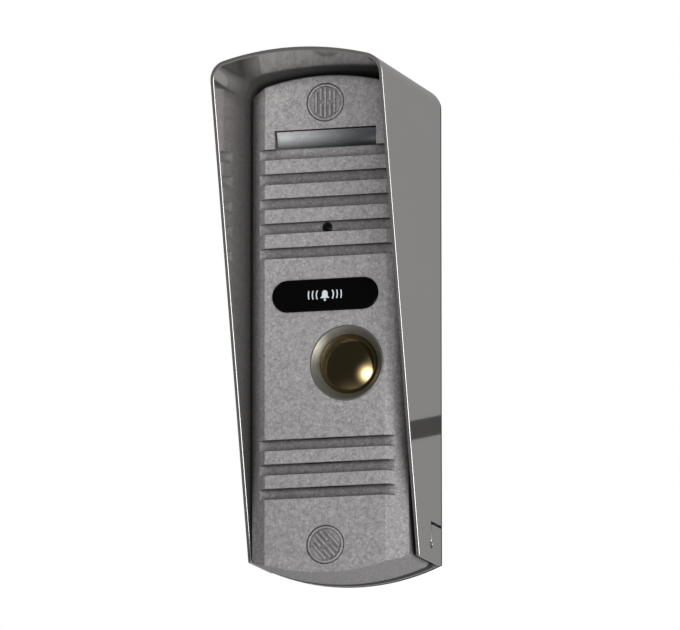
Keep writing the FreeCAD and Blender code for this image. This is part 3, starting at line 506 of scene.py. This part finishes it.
def make_finishes(finishes):
    """One material for each of the model's slots, by slot name, and the extra ones of single pieces."""
    slots = {
        "cast_paint": silver_flake_enamel(finishes),
        "hood_metal": satin_steel_sheet(finishes),
        "satin_nickel": metal("satin_nickel_plate", list(finishes.nickel), 0.36, 0.25, "8A8880", 0.8),
        "polished_brass": metal("polished_brass", list(finishes.brass), 0.09, 0.6, "8A6E42"),
        "spring_steel": metal("bright_spring_steel", "9C9A96", 0.25, 0.3),
        "aluminium_can": metal("drawn_aluminium_can", "BCBDBF", 0.3, 0.4),
        "zinc_screw": metal("zinc_plated_steel", "A9ABA8", 0.32, 0.35, "8E8B7C"),
        "black_plastic": moulded("moulded_black_abs", "1B1B1C", 0.5, 0.35),
        "white_plastic": moulded("moulded_white_nylon", "D8D6CE", 0.45, 0.4),
        "blue_plastic": moulded("moulded_blue_pbt", "1F4F9A", 0.4, 0.4),
        "rubber_black": moulded("moulded_black_rubber", "202022", 0.75, 0.3, 0.03, 0.2),
        "silicone_grey": moulded("moulded_grey_silicone", "8A8C8D", 0.6, 0.4, 0.02, 0.2),
        "paper_cone": moulded("pressed_paper_cone", "2A2926", 0.85, 0.6, 0.08),
        "tape": moulded("white_foam_tape", "DAD9D4", 0.85, 0.5, 0.06),
        "black_gloss": moulded("gloss_black_acrylic", list(finishes.plate), 0.09, 3.0, 0.004, 0.0, 0.2),
        "board_green": solder_mask(),
        "sensor": clear_moulding("coated_sensor_glass", "2A3A55", 0.06, 2.0, 0.0),
        "clear_plastic": frosted_light_bar(),
        "print": moulded("screen_printed_ink", list(finishes.print), 0.6, 0.3, 0.01),
        "led_clear": clear_moulding("clear_epoxy", "EDEFF0", 0.05, 2.0, 0.9),
        "lens_glass": clear_moulding("coated_lens_glass", "14161A", 0.03, 1.0, 0.3),
    }
    return slots, {"wall_gasket": closed_cell_foam(), "housing_seal": slots["rubber_black"]}


def material_of(slot):
    """The finish of a slot, made by the finishes operator."""
    found = [m for m in bpy.data.materials if m.get("doorbell_slot") == slot]
    if not found:
        raise RuntimeError(f"run the finishes operator first: there is no finish for {slot}")
    return found[0]


# ---- Modelling
def trace(bm, start, axis, *moves):
    """Draws a chain of edges from start and returns its two ends. A point draws a straight run, and
    (centre, angle, steps) turns about the axis."""
    tip = bm.verts.new(start)
    first = tip
    for move in moves:
        if len(move) == 3 and isinstance(move[0], Vector):
            made = bmesh.ops.spin(bm, geom=[tip], cent=move[0], axis=axis, angle=move[1], steps=move[2])
            tip = made["geom_last"][0]
        else:
            tip = bmesh.ops.extrude_vert_indiv(bm, verts=[tip])["verts"][0]
            tip.co = move
    return first, tip


def close_face(bm, first, last):
    """Joins a chain's two ends and fills it."""
    bm.edges.new((first, last))
    edges = [e for e in bm.edges if not e.link_faces]
    return bmesh.ops.contextual_create(bm, geom=edges)["faces"]


def extrude(bm, faces, offset):
    made = bmesh.ops.extrude_face_region(bm, geom=faces)["geom"]
    bmesh.ops.translate(bm, vec=offset, verts=[v for v in made if isinstance(v, bmesh.types.BMVert)])


def turn_round(bm, centre, steps):
    """Spins everything drawn so far about the axis along Y through centre, and closes the poles."""
    bmesh.ops.spin(
        bm,
        geom=bm.verts[:] + bm.edges[:],
        cent=centre,
        axis=(0, 1, 0),
        angle=2 * math.pi,
        steps=steps,
        use_merge=True,
    )
    bmesh.ops.remove_doubles(bm, verts=bm.verts, dist=1e-7)


def round_edges(bm, edges, width, segments=3):
    bmesh.ops.bevel(
        bm,
        geom=edges,
        offset=width,
        affect="EDGES",
        segments=segments,
        profile=0.5,
        material=-1,
        clamp_overlap=True,
    )


def sharp_edges(bm, angle=math.radians(40)):
    bm.normal_update()
    return [e for e in bm.edges if len(e.link_faces) == 2 and e.calc_face_angle() > angle]


def make_piece(name, bm, slot, body, replaced=()):
    """Makes an object of a finished bmesh, smooth but for its sharp edges, that rides with a body."""
    bmesh.ops.recalc_face_normals(bm, faces=bm.faces)
    mesh = bpy.data.meshes.new(name)
    bm.to_mesh(mesh)
    bm.free()
    mesh.shade_smooth()
    mesh.set_sharp_from_angle(angle=math.radians(35))
    mesh.materials.append(material_of(slot))
    piece = bpy.data.objects.new(name, mesh)
    bpy.context.scene.collection.objects.link(piece)
    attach(piece, body)
    if replaced:
        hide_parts(*replaced)
    return piece


def section_of(node):
    low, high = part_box(node)
    return low, high, (low + high) / 2


# ---- Pieces
class DoorbellFinishPieces(bpy.types.Operator):
    """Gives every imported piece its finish"""

    bl_idname = "doorbell.finishes"
    bl_label = "Finishes"

    def execute(self, context):
        slots, single = make_finishes(context.scene.doorbell_finishes)
        for slot, material in slots.items():
            material["doorbell_slot"] = slot
        for name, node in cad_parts.items():
            for holder in node.material_slots:
                holder.material = single.get(name) or slots[holder.material.name.split(".")[0]]
        return {"FINISHED"}


class DoorbellHood(bpy.types.Operator):
    """Bends the rain hood from one sheet, with the locking tabs lanced in its sides"""

    bl_idname = "doorbell.hood"
    bl_label = "Rain hood"

    def execute(self, context):
        sizes = context.scene.doorbell_sizes
        low, high, _ = section_of("hood_shell")
        half, foot, apex, rear = high.x, low.z, high.z, high.y
        corner, roof = sizes.hood_corner, sizes.roof_radius
        roof_centre = Vector((0, rear, apex - roof))
        rise = math.sqrt((roof - corner) ** 2 - (half - corner) ** 2)
        lean = math.atan2(rise, half - corner)
        corner_z = roof_centre.z + rise

        bm = bmesh.new()
        trace(
            bm,
            (half, rear, foot),
            (0, -1, 0),
            (half, rear, corner_z),
            (Vector((half - corner, rear, corner_z)), lean, 12),
            (roof_centre, math.pi - 2 * lean, 40),
            (Vector((corner - half, rear, corner_z)), lean, 12),
            (-half, rear, foot),
        )
        made = bmesh.ops.extrude_edge_only(bm, edges=bm.edges[:])["geom"]
        spare = 5 * MM
        front_verts = [v for v in made if isinstance(v, bmesh.types.BMVert)]
        bmesh.ops.translate(bm, vec=(0, low.y - spare - rear, 0), verts=front_verts)
        # the front edge slopes out from foot to apex, so the spare sheet is cut off along it
        foot_y = rear - sizes.hood_low_depth
        slope = Vector((0, low.y - foot_y, apex - foot))
        normal = Vector((0, -slope.z, slope.y))
        if normal.y > 0:
            normal.negate()
        bmesh.ops.bisect_plane(
            bm,
            geom=bm.verts[:] + bm.edges[:] + bm.faces[:],
            plane_co=(0, foot_y, foot),
            plane_no=normal,
            clear_outer=True,
        )
        for side in (-1, 1):
            self.lance(bm, side * half, foot, rear, sizes)
        bmesh.ops.recalc_face_normals(bm, faces=bm.faces)
        widest = max(bm.faces, key=lambda f: f.calc_center_median().x)
        if widest.normal.x < 0:
            bmesh.ops.reverse_faces(bm, faces=bm.faces)
        hood = make_piece("hood_sheet", bm, "hood_metal", "panel", ["hood_shell"])
        wall = hood.modifiers.new("sheet", "SOLIDIFY")
        wall.thickness = sizes.sheet
        wall.offset = -1.0
        wall.use_even_offset = True
        edge = hood.modifiers.new("cut edge", "BEVEL")
        edge.width = sizes.cut_edge
        edge.segments = 3
        edge.limit_method = "ANGLE"
        edge.angle_limit = math.radians(40)
        edge.harden_normals = True
        return {"FINISHED"}

    def lance(self, bm, x, foot, rear, sizes):
        """Cuts the tab's upper and front slits in the side at x, and the round hole at the front one's foot."""
        top = foot + sizes.tab_top
        end = foot + sizes.tab_end
        front = rear - sizes.tab_length
        reach = 1.5 * sizes.tab_hole
        middle = front + sizes.slit / 2
        cuts = [((0, 0, z), (0, 0, 1)) for z in (top, top - sizes.slit, end + reach, end - reach)]
        cuts += [((0, y, 0), (0, 1, 0)) for y in (front, front + sizes.slit, middle - reach, middle + reach)]
        for place, normal in cuts:
            side = [f for f in bm.faces if abs(f.calc_center_median().x - x) < 1e-6]
            geom = set(side)
            for f in side:
                geom.update(f.edges)
                geom.update(f.verts)
            bmesh.ops.bisect_plane(bm, geom=list(geom), plane_co=place, plane_no=normal)

        def within(face, y0, y1, z0, z1):
            c = face.calc_center_median()
            return abs(c.x - x) < 1e-6 and y0 < c.y < y1 and z0 < c.z < z1

        gone = [
            f
            for f in bm.faces
            if within(f, front, rear, top - sizes.slit, top)
            or within(f, front, front + sizes.slit, end, top)
            or within(f, middle - reach, middle + reach, end - reach, end + reach)
        ]
        bmesh.ops.delete(bm, geom=gone, context="FACES")

        ring = bmesh.ops.create_circle(
            bm,
            segments=24,
            radius=sizes.tab_hole,
            matrix=Matrix.Translation((x, middle, end)) @ Matrix.Rotation(math.pi / 2, 4, "Y"),
        )["verts"]
        mouth = [v for v in ring if v.co.z > end and abs(v.co.y - middle) < sizes.slit * 0.45]
        bmesh.ops.delete(bm, geom=mouth, context="VERTS")
        ring = [v for v in ring if v.is_valid]
        tips = [v for v in ring if len(v.link_edges) == 1]
        slit_ends = [
            v
            for v in bm.verts
            if abs(v.co.x - x) < 1e-6
            and abs(v.co.z - end - reach) < 1e-6
            and min(abs(v.co.y - front), abs(v.co.y - front - sizes.slit)) < 1e-6
        ]
        for tip in tips:
            bm.edges.new((tip, min(slit_ends, key=lambda v: (v.co - tip.co).length)))

        def at_hole(v):
            near = max(abs(v.co.y - middle), abs(v.co.z - end)) < reach + 1e-6
            return near and abs(v.co.x - x) < 1e-6

        def at_mouth(edge):
            half_way = (edge.verts[0].co + edge.verts[1].co) / 2
            return abs(half_way.z - end - reach) < 1e-6 and abs(half_way.y - middle) < sizes.slit * 0.45

        rim = [e for e in bm.edges if len(e.link_faces) < 2 and all(at_hole(v) for v in e.verts)]
        border = [e for e in rim if not at_mouth(e)]
        bmesh.ops.triangle_fill(
            bm, use_beauty=True, use_dissolve=True, edges=border, normal=(math.copysign(1, x), 0, 0)
        )


class DoorbellButton(bpy.types.Operator):
    """Turns the bell button's brass dome and the dished ring around it"""

    bl_idname = "doorbell.button"
    bl_label = "Bell button"

    def execute(self, context):
        sizes, steps = context.scene.doorbell_sizes, context.scene.doorbell_stage.spin_steps
        low, high, middle = section_of("button_dome")
        radius, front, back = (high.x - low.x) / 2, low.y, high.y
        centre = Vector((middle.x, 0, middle.z))
        base = front + sizes.dome_height
        bm = bmesh.new()
        for inset in (0.0, sizes.dome_wall):
            r, y, rise = radius - inset, front + inset, sizes.dome_height - inset
            ball = (r * r + rise * rise) / (2 * rise)
            span = math.asin(r / ball)
            trace(
                bm,
                centre + Vector((0, y, 0)),
                (0, 0, 1),
                (centre + Vector((0, y + ball, 0)), span, 28),
                centre + Vector((r, back, 0)),
            )
        ends = sorted(bm.verts, key=lambda v: v.co.y)[-2:]
        bm.edges.new(ends)
        turn_round(bm, centre, steps)
        rims = [e for e in sharp_edges(bm, math.radians(25)) if abs(e.verts[0].co.y - e.verts[1].co.y) < 1e-7]
        rolled_edge = 0.2 * MM
        round_edges(bm, rims, rolled_edge)
        make_piece("bell_dome", bm, "polished_brass", "button", ["button_dome"])

        low, high, middle = section_of("button_bezel")
        rim, proud, back = (high.x - low.x) / 2, low.y, high.y
        bore = rim - sizes.dish_width + sizes.bezel_gap
        sleeve = bore + sizes.bezel_sleeve
        lip = proud + sizes.bezel_proud
        dish_wall, broken_edge = 0.4 * MM, 0.14 * MM
        shelf = lip + sizes.dish + dish_wall
        bm = bmesh.new()
        first, last = trace(
            bm,
            centre + Vector((bore, lip + sizes.dish, 0)),
            (0, 0, 1),
            centre + Vector((rim - sizes.bezel_rim, proud, 0)),
            centre + Vector((rim, proud, 0)),
            centre + Vector((rim, shelf, 0)),
            centre + Vector((sleeve, shelf, 0)),
            centre + Vector((sleeve, back, 0)),
            centre + Vector((bore, back, 0)),
        )
        bm.edges.new((last, first))
        turn_round(bm, centre, steps)
        round_edges(bm, sharp_edges(bm, math.radians(20)), broken_edge)
        make_piece("bell_ring", bm, "satin_nickel", "panel", ["button_bezel"])
        return {"FINISHED"}


class DoorbellLightBar(bpy.types.Operator):
    """Moulds the clear bar with the hollow front over the night light"""

    bl_idname = "doorbell.light_bar"
    bl_label = "Night light bar"

    def execute(self, context):
        sizes = context.scene.doorbell_sizes
        low, high, _ = section_of("light_window")
        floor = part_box("front_housing")[0].y + sizes.groove_depth
        foot_lip, overlap = 0.25 * MM, 0.05 * MM
        lip = floor - foot_lip
        back_low, front_top = Vector((low.x, lip, low.z)), Vector((low.x, low.y, high.z))
        seam, sag = sizes.bar_seam, sizes.bar_hollow
        front_top.z -= seam
        chord = front_top - back_low
        radius = (chord.length**2 / 4 + sag**2) / (2 * sag)
        inward = Vector((0, chord.z, -chord.y)).normalized()
        if inward.y > 0:
            inward.negate()
        centre = (back_low + front_top) / 2 + inward * (radius - sag)
        span = 2 * math.asin(chord.length / 2 / radius)
        bm = bmesh.new()
        first, last = trace(
            bm,
            Vector((low.x, floor, low.z)),
            (1, 0, 0),
            back_low,
            (centre, span, 16),
            Vector((low.x, floor, high.z - seam)),
        )
        bmesh.ops.remove_doubles(bm, verts=bm.verts, dist=1e-7)
        faces = close_face(bm, first, last)
        bmesh.ops.translate(bm, vec=(seam, 0, 0), verts=bm.verts)
        extrude(bm, faces, (high.x - low.x - 2 * seam, 0, 0))
        round_edges(bm, sharp_edges(bm), 0.12 * MM)
        # the tongue behind is set in all round, and runs a little way into the bar
        set_in = 0.7 * MM
        place = Matrix.Translation((0, (floor + high.y) / 2 - overlap, (low.z + high.z) / 2))
        width, height = high.x - low.x - 2 * set_in, high.z - low.z - 2 * set_in
        size = Matrix.Diagonal((width, high.y - floor + 2 * overlap, height, 1.0))
        tongue = bmesh.ops.create_cube(bm, size=1.0, matrix=place @ size)
        round_edges(bm, list({e for v in tongue["verts"] for e in v.link_edges}), 0.15 * MM, 2)
        make_piece("night_light_bar", bm, "clear_plastic", "panel", ["light_window"])
        return {"FINISHED"}


class DoorbellNameBar(bpy.types.Operator):
    """Cuts the gloss name bar and prints a plain ringing-bell symbol on it"""

    bl_idname = "doorbell.name_bar"
    bl_label = "Name bar"

    def execute(self, context):
        sizes = context.scene.doorbell_sizes
        low, high, middle = section_of("name_plate")
        r = (high.z - low.z) / 2
        reach = (high.x - low.x) / 2 - r
        bm = bmesh.new()
        trace(
            bm,
            (reach, high.y, middle.z + r),
            (0, -1, 0),
            (-reach, high.y, middle.z + r),
            (Vector((-reach, high.y, middle.z)), math.pi, 32),
            (reach, high.y, middle.z - r),
            (Vector((reach, high.y, middle.z)), math.pi, 32),
        )
        bmesh.ops.remove_doubles(bm, verts=bm.verts, dist=1e-7)
        faces = bmesh.ops.contextual_create(bm, geom=bm.edges[:])["faces"]
        extrude(bm, faces, (0, low.y - high.y, 0))
        front = [e for e in sharp_edges(bm) if e.verts[0].co.y < low.y + 1e-6]
        polished_edge = 0.3 * MM
        round_edges(bm, front, polished_edge, 4)
        make_piece("name_bar", bm, "black_gloss", "panel", ["name_plate"])
        self.print_symbol(low.y, middle, sizes.print_stroke)
        return {"FINISHED"}

    def print_symbol(self, y, middle, stroke):
        """A bell with three sound waves on each side, in raised ink."""
        ink = bmesh.new()
        x0, z0 = middle.x, middle.z - 0.1 * MM
        shoulder, skirt = 0.72 * MM, 1.15 * MM
        hem, waist, crown = z0 - 0.75 * MM, z0 - 0.2 * MM, z0 + 0.45 * MM
        clapper, clapper_z = 0.3 * MM, z0 - 1.15 * MM
        wave_reach, ink_height = 1.0 * MM, 0.025 * MM
        centre = Vector((x0, y, z0 + 0.1 * MM))
        trace(
            ink,
            (x0 + skirt, y, hem),
            (0, -1, 0),
            (x0 + shoulder, y, waist),
            (x0 + shoulder, y, crown),
            (Vector((x0, y, crown)), math.pi, 16),
            (x0 - shoulder, y, waist),
            (x0 - skirt, y, hem),
        )
        bmesh.ops.remove_doubles(ink, verts=ink.verts, dist=1e-7)
        ink.edges.new([v for v in ink.verts if len(v.link_edges) == 1])
        bmesh.ops.contextual_create(ink, geom=ink.edges[:])
        lay_flat = Matrix.Translation((x0, y, clapper_z)) @ Matrix.Rotation(math.pi / 2, 4, "X")
        bmesh.ops.create_circle(ink, cap_ends=True, segments=16, radius=clapper, matrix=lay_flat)
        for radius in (2.0 * MM, 3.0 * MM, 4.0 * MM):
            swing = math.asin(min(1.0, wave_reach / radius))
            for side in (0, math.pi):
                a = ink.verts.new(centre + Vector((radius, 0, 0)))
                b = ink.verts.new(centre + Vector((radius + stroke, 0, 0)))
                line = ink.edges.new((a, b))
                bmesh.ops.rotate(ink, verts=[a, b], cent=centre, matrix=Matrix.Rotation(side + swing, 3, "Y"))
                bmesh.ops.spin(
                    ink, geom=[a, b, line], cent=centre, axis=(0, 1, 0), angle=-2 * swing, steps=12
                )
        extrude(ink, ink.faces[:], (0, -ink_height, 0))
        mark = make_piece("name_bar_print", ink, "white_plastic", "panel")
        mark.data.materials[0] = material_of("print")


class DoorbellCaps(bpy.types.Operator):
    """Presses the two screw caps, with a rim and a plain ribbed relief"""

    bl_idname = "doorbell.caps"
    bl_label = "Screw caps"

    def execute(self, context):
        sizes, cap_steps = context.scene.doorbell_sizes, 72
        plate_edge, groove_out, groove_in = 0.85 * MM, 0.3 * MM, 0.7 * MM
        shallow, bead, foot, foot_wall = 0.04 * MM, 0.5 * MM, 0.2 * MM, 0.4 * MM
        for node, name, turn in (
            ("top_cap", "upper_cap", 0.0),
            ("bottom_cap", "lower_cap", math.radians(-42)),
        ):
            low, high, middle = section_of(node)
            radius, front, back = (high.x - low.x) / 2, low.y, high.y - foot
            field = front + sizes.cap_relief
            foot_out = radius - groove_in
            centre = Vector((middle.x, 0, middle.z))
            bm = bmesh.new()
            trace(
                bm,
                centre + Vector((0, field, 0)),
                (0, 0, 1),
                centre + Vector((radius - plate_edge, field, 0)),
                centre + Vector((radius - groove_in, front + shallow, 0)),
                centre + Vector((radius - groove_out, front + shallow, 0)),
                centre + Vector((radius, front + bead, 0)),
                centre + Vector((radius, back, 0)),
                centre + Vector((foot_out, back, 0)),
                centre + Vector((foot_out, high.y, 0)),
                centre + Vector((foot_out - foot_wall, high.y, 0)),
                centre + Vector((foot_out - foot_wall, back, 0)),
                centre + Vector((0, back, 0)),
            )
            turn_round(bm, centre, cap_steps)
            rims = [e for e in sharp_edges(bm, math.radians(25)) if e.verts[0].co.y < field]
            round_edges(bm, rims, 0.08 * MM)
            self.ribs(bm, centre, radius - plate_edge - 0.1 * MM, front, field, turn)
            make_piece(name, bm, "cast_paint", "panel", [node])
        return {"FINISHED"}

    def ribs(self, bm, centre, reach, front, field, turn):
        """Parallel ribs across the cap, every second one split, so that the relief stays plain."""
        pitch, width, half_split, sunk = 1.15 * MM, 0.6 * MM, 0.35 * MM, 0.1 * MM
        tilt = Matrix.Translation(centre) @ Matrix.Rotation(turn, 4, "Y")
        for i in range(-2, 3):
            x = i * pitch
            tall = math.sqrt(reach**2 - (abs(x) + width / 2) ** 2)
            spans = [(-tall, tall)] if i % 2 == 0 else [(-tall, -half_split), (half_split, tall)]
            for z0, z1 in spans:
                place = Matrix.Translation((x, (front + field + sunk) / 2, (z0 + z1) / 2))
                size = Matrix.Diagonal((width, field - front + sunk, z1 - z0, 1.0))
                bar = bmesh.ops.create_cube(bm, size=1.0, matrix=tilt @ place @ size)
                round_edges(bm, list({e for v in bar["verts"] for e in v.link_edges}), 0.11 * MM, 2)


class DoorbellGrommet(bpy.types.Operator):
    """Moulds the rubber bush that the wires come in through"""

    bl_idname = "doorbell.grommet"
    bl_label = "Cable grommet"

    def execute(self, context):
        sizes, neck_depth = context.scene.doorbell_sizes, 1.5 * MM
        low, high, middle = section_of("cable_grommet")
        flange, lip, bore = (high.x - low.x) / 2, sizes.grommet_flange, sizes.grommet_bore
        neck = flange - neck_depth
        centre = Vector((middle.x, 0, middle.z))
        bm = bmesh.new()
        first, last = trace(
            bm,
            centre + Vector((bore, low.y, 0)),
            (0, 0, 1),
            centre + Vector((flange, low.y, 0)),
            centre + Vector((flange, low.y + lip, 0)),
            centre + Vector((neck, low.y + lip, 0)),
            centre + Vector((neck, high.y - lip, 0)),
            centre + Vector((flange, high.y - lip, 0)),
            centre + Vector((flange, high.y, 0)),
            centre + Vector((bore, high.y, 0)),
        )
        bm.edges.new((last, first))
        turn_round(bm, centre, context.scene.doorbell_stage.spin_steps)
        rims = [
            e
            for e in sharp_edges(bm)
            if (e.verts[0].co - centre).xz.length > neck + neck_depth / 3 or e.verts[0].co.y > high.y - 1e-6
        ]
        soft_edge = 0.28 * MM
        round_edges(bm, rims, soft_edge)
        make_piece("cable_bush", bm, "rubber_black", "panel", ["cable_grommet"])
        return {"FINISHED"}


class DoorbellSpring(bpy.types.Operator):
    """Coils the bell button's return spring at one fixed length; the real one shortens as the button goes in"""

    bl_idname = "doorbell.spring"
    bl_label = "Return spring"

    def execute(self, context):
        sizes = context.scene.doorbell_sizes
        low, high, middle = section_of("button_spring")
        wire, steps = sizes.spring_wire / 2, 24 * sizes.spring_turns
        coil = (high.x - low.x) / 2 - wire
        rise = high.y - low.y - 2 * wire
        bm = bmesh.new()
        start = Matrix.Translation((middle.x + coil, low.y + wire, middle.z))
        bmesh.ops.create_circle(bm, segments=12, radius=wire, matrix=start)
        bmesh.ops.spin(
            bm,
            geom=bm.verts[:] + bm.edges[:],
            cent=middle,
            axis=(0, 1, 0),
            dvec=(0, rise / steps, 0),
            angle=2 * math.pi * sizes.spring_turns,
            steps=steps,
        )
        bmesh.ops.holes_fill(bm, edges=[e for e in bm.edges if len(e.link_faces) == 1])
        spring = make_piece("return_spring", bm, "spring_steel", "button", ["button_spring"])
        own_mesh(spring)
        return {"FINISHED"}


# ---- Stage
def add_light(name, azimuth, elevation, distance, size, power):
    """A soft round light that faces the doorbell and isn't seen itself."""
    lamp = bpy.data.lights.new(name, "AREA")
    lamp.shape = "DISK"
    lamp.size = size
    lamp.energy = power
    light = bpy.data.objects.new(name, lamp)
    light.location = ray(azimuth, elevation) * distance
    light.rotation_euler = light.location.to_track_quat("Z", "Y").to_euler()
    light.visible_camera = False
    bpy.context.scene.collection.objects.link(light)
    return light


def ray(azimuth, elevation):
    """Gives the direction from the part to a place at these angles, seen from the front"""
    flat = math.cos(elevation)
    return Vector((math.sin(azimuth) * flat, -math.cos(azimuth) * flat, math.sin(elevation)))


class DoorbellStageOperator(bpy.types.Operator):
    """Sets the pale floor, the soft light, the dark bar that the hood mirrors, and the camera"""

    bl_idname = "doorbell.stage"
    bl_label = "Stage"

    def execute(self, context):
        stage = context.scene.doorbell_stage
        self.floor()
        self.flag()
        self.world(stage)
        fill = add_light(
            "fill",
            azimuth=math.radians(15),
            elevation=math.radians(4),
            distance=0.28,
            size=0.13,
            power=stage.fill,
        )
        fill.visible_glossy = False  # so that the name bar stays black

        back = ray(stage.azimuth, stage.elevation)
        right = Vector((math.cos(stage.azimuth), math.sin(stage.azimuth), 0))
        up = back.cross(right)
        data = bpy.data.cameras.new("camera")
        data.lens = stage.lens
        data.sensor_width = 36.0
        shift_right, shift_up = 1.65 * MM, 2.88 * MM  # centres the doorbell in the frame
        camera = bpy.data.objects.new("camera", data)
        target = Vector((0, -20 * MM, 0))
        place = target + back * stage.distance + right * shift_right + up * shift_up
        camera.matrix_world = Matrix.Translation(place) @ Matrix((right, up, back)).transposed().to_4x4()
        context.scene.collection.objects.link(camera)
        context.scene.camera = camera
        context.scene.view_settings.view_transform = "Standard"
        return {"FINISHED"}

    def floor(self):
        """A pale painted floor far below, faintly uneven. It glows a little and throws nothing on the doorbell,
        which gets the floor's light from the world."""
        depth = 0.7
        bm = bmesh.new()
        bmesh.ops.create_grid(
            bm, x_segments=8, y_segments=8, size=4.0, matrix=Matrix.Translation((0, 0, -depth))
        )
        mesh = bpy.data.meshes.new("floor")
        bm.to_mesh(mesh)
        bm.free()
        floor = bpy.data.objects.new("floor", mesh)
        bpy.context.scene.collection.objects.link(floor)
        material, tree, place = start_material("matt_white_floor_paint")
        cloud = add_node(tree, "TexNoise", {"Vector": place, "Scale": 3.0, "Detail": 3.0})
        tone = add_node(
            tree, "Mix", {0: cloud.outputs["Fac"], 6: rgba("EFEEEC"), 7: rgba("F6F5F3")}, data_type="RGBA"
        )
        glow = {"Emission Color": (1, 1, 1, 1), "Emission Strength": 0.55}
        shader = add_node(tree, "BsdfPrincipled", {"Base Color": tone.outputs[2], "Roughness": 0.8, **glow})
        mesh.materials.append(finish_material(material, tree, shader.outputs[0]))
        floor.visible_diffuse = floor.visible_glossy = False
        floor.visible_transmission = floor.visible_shadow = False

    def flag(self):
        """A dark bar beside the set, unseen, whose reflection crosses the hood's right side."""
        middle, tilt = (32 * MM, 20 * MM, -19 * MM), math.radians(12)
        thickness, reach, width = 1 * MM, 90 * MM, 4.6 * MM
        turn = Matrix.Translation(middle) @ Matrix.Rotation(tilt, 4, "X")
        bm = bmesh.new()
        bmesh.ops.create_cube(bm, size=1.0, matrix=turn @ Matrix.Diagonal((thickness, reach, width, 1.0)))
        mesh = bpy.data.meshes.new("flag")
        bm.to_mesh(mesh)
        bm.free()
        flag = bpy.data.objects.new("flag", mesh)
        bpy.context.scene.collection.objects.link(flag)
        mesh.materials.append(moulded("black_flag_cloth", "1C1B1B", 0.9, 1.0))
        flag.visible_camera = flag.visible_diffuse = False
        flag.visible_transmission = flag.visible_shadow = False

    def world(self, stage):
        """White to the camera. As light it is dim in front and brighter behind, with three glows: the key at low
        right, one level with the panel, and one from below. The key is left out of diffuse light, so that the
        side strips stay dark."""
        world = bpy.data.worlds.new("studio")
        world.use_nodes = True
        tree = world.node_tree
        tree.nodes.clear()
        place = add_node(tree, "TexCoord").outputs["Generated"]
        way = add_node(tree, "SeparateXYZ", {0: place})
        behind = add_node(
            tree,
            "MapRange",
            {"Value": way.outputs["Y"], "From Min": -0.2, "From Max": 0.5, "To Min": 0.05, "To Max": 0.36},
        )
        total = behind.outputs["Result"]
        path = add_node(tree, "LightPath")
        sheen = add_node(
            tree, "MapRange", {"Value": path.outputs["Is Diffuse Ray"], "To Min": stage.key, "To Max": 0.0}
        )
        for azimuth, elevation, narrow, strength in (
            (46, -22, 26, sheen.outputs["Result"]),
            (62, 6, 24, stage.rim),
            (30, -88, 6, stage.below),
        ):
            toward = ray(math.radians(azimuth), math.radians(elevation))
            near = add_node(tree, "VectorMath", {0: place, 1: toward}, operation="DOT_PRODUCT")
            ahead = add_node(tree, "Math", {0: near.outputs["Value"], 1: 0.0}, operation="MAXIMUM")
            glow = add_node(tree, "Math", {0: ahead.outputs[0], 1: narrow}, operation="POWER")
            total = add_node(
                tree, "Math", {0: glow.outputs[0], 1: strength, 2: total}, operation="MULTIPLY_ADD"
            ).outputs[0]
        seen = add_node(tree, "Background", {"Color": (1, 1, 1, 1), "Strength": 1.0})
        light = add_node(tree, "Background", {"Color": (1, 1, 1, 1), "Strength": total})
        choose = add_node(
            tree, "MixShader", {0: path.outputs["Is Camera Ray"], 1: light.outputs[0], 2: seen.outputs[0]}
        )
        add_node(tree, "OutputWorld", {"Surface": choose.outputs[0]})
        bpy.context.scene.world = world


# ---- Panel and registration
OPERATORS = (
    DoorbellFinishPieces,
    DoorbellHood,
    DoorbellButton,
    DoorbellSpring,
    DoorbellLightBar,
    DoorbellNameBar,
    DoorbellCaps,
    DoorbellGrommet,
    DoorbellStageOperator,
)


class VIEW3D_PT_doorbell(bpy.types.Panel):
    """Lists the doorbell's operators and settings in the sidebar"""

    bl_label = "Video Doorbell"
    bl_space_type = "VIEW_3D"
    bl_region_type = "UI"
    bl_category = "Doorbell"

    def draw(self, context):
        column = self.layout.column(align=True)
        for operator in OPERATORS:
            column.operator(operator.bl_idname)
        for group in (getattr(context.scene, name) for name in GROUPS):
            for setting in group.__annotations__:
                self.layout.prop(group, setting)


GROUPS = {
    "doorbell_sizes": DoorbellSizes,
    "doorbell_finishes": DoorbellFinishes,
    "doorbell_stage": DoorbellStage,
}
CLASSES = (*GROUPS.values(), *OPERATORS, VIEW3D_PT_doorbell)


def register():
    for cls in CLASSES:
        bpy.utils.register_class(cls)
    for name, group in GROUPS.items():
        setattr(bpy.types.Scene, name, PointerProperty(type=group))


def unregister():
    for name in GROUPS:
        delattr(bpy.types.Scene, name)
    for cls in reversed(CLASSES):
        bpy.utils.unregister_class(cls)


def main():
    """Builds the doorbell and its stage."""
    register()
    bpy.ops.doorbell.finishes()
    bpy.ops.doorbell.hood()
    bpy.ops.doorbell.button()
    bpy.ops.doorbell.spring()
    bpy.ops.doorbell.light_bar()
    bpy.ops.doorbell.name_bar()
    bpy.ops.doorbell.caps()
    bpy.ops.doorbell.grommet()
    bpy.ops.doorbell.stage()


if __name__ == "__main__":
    main()
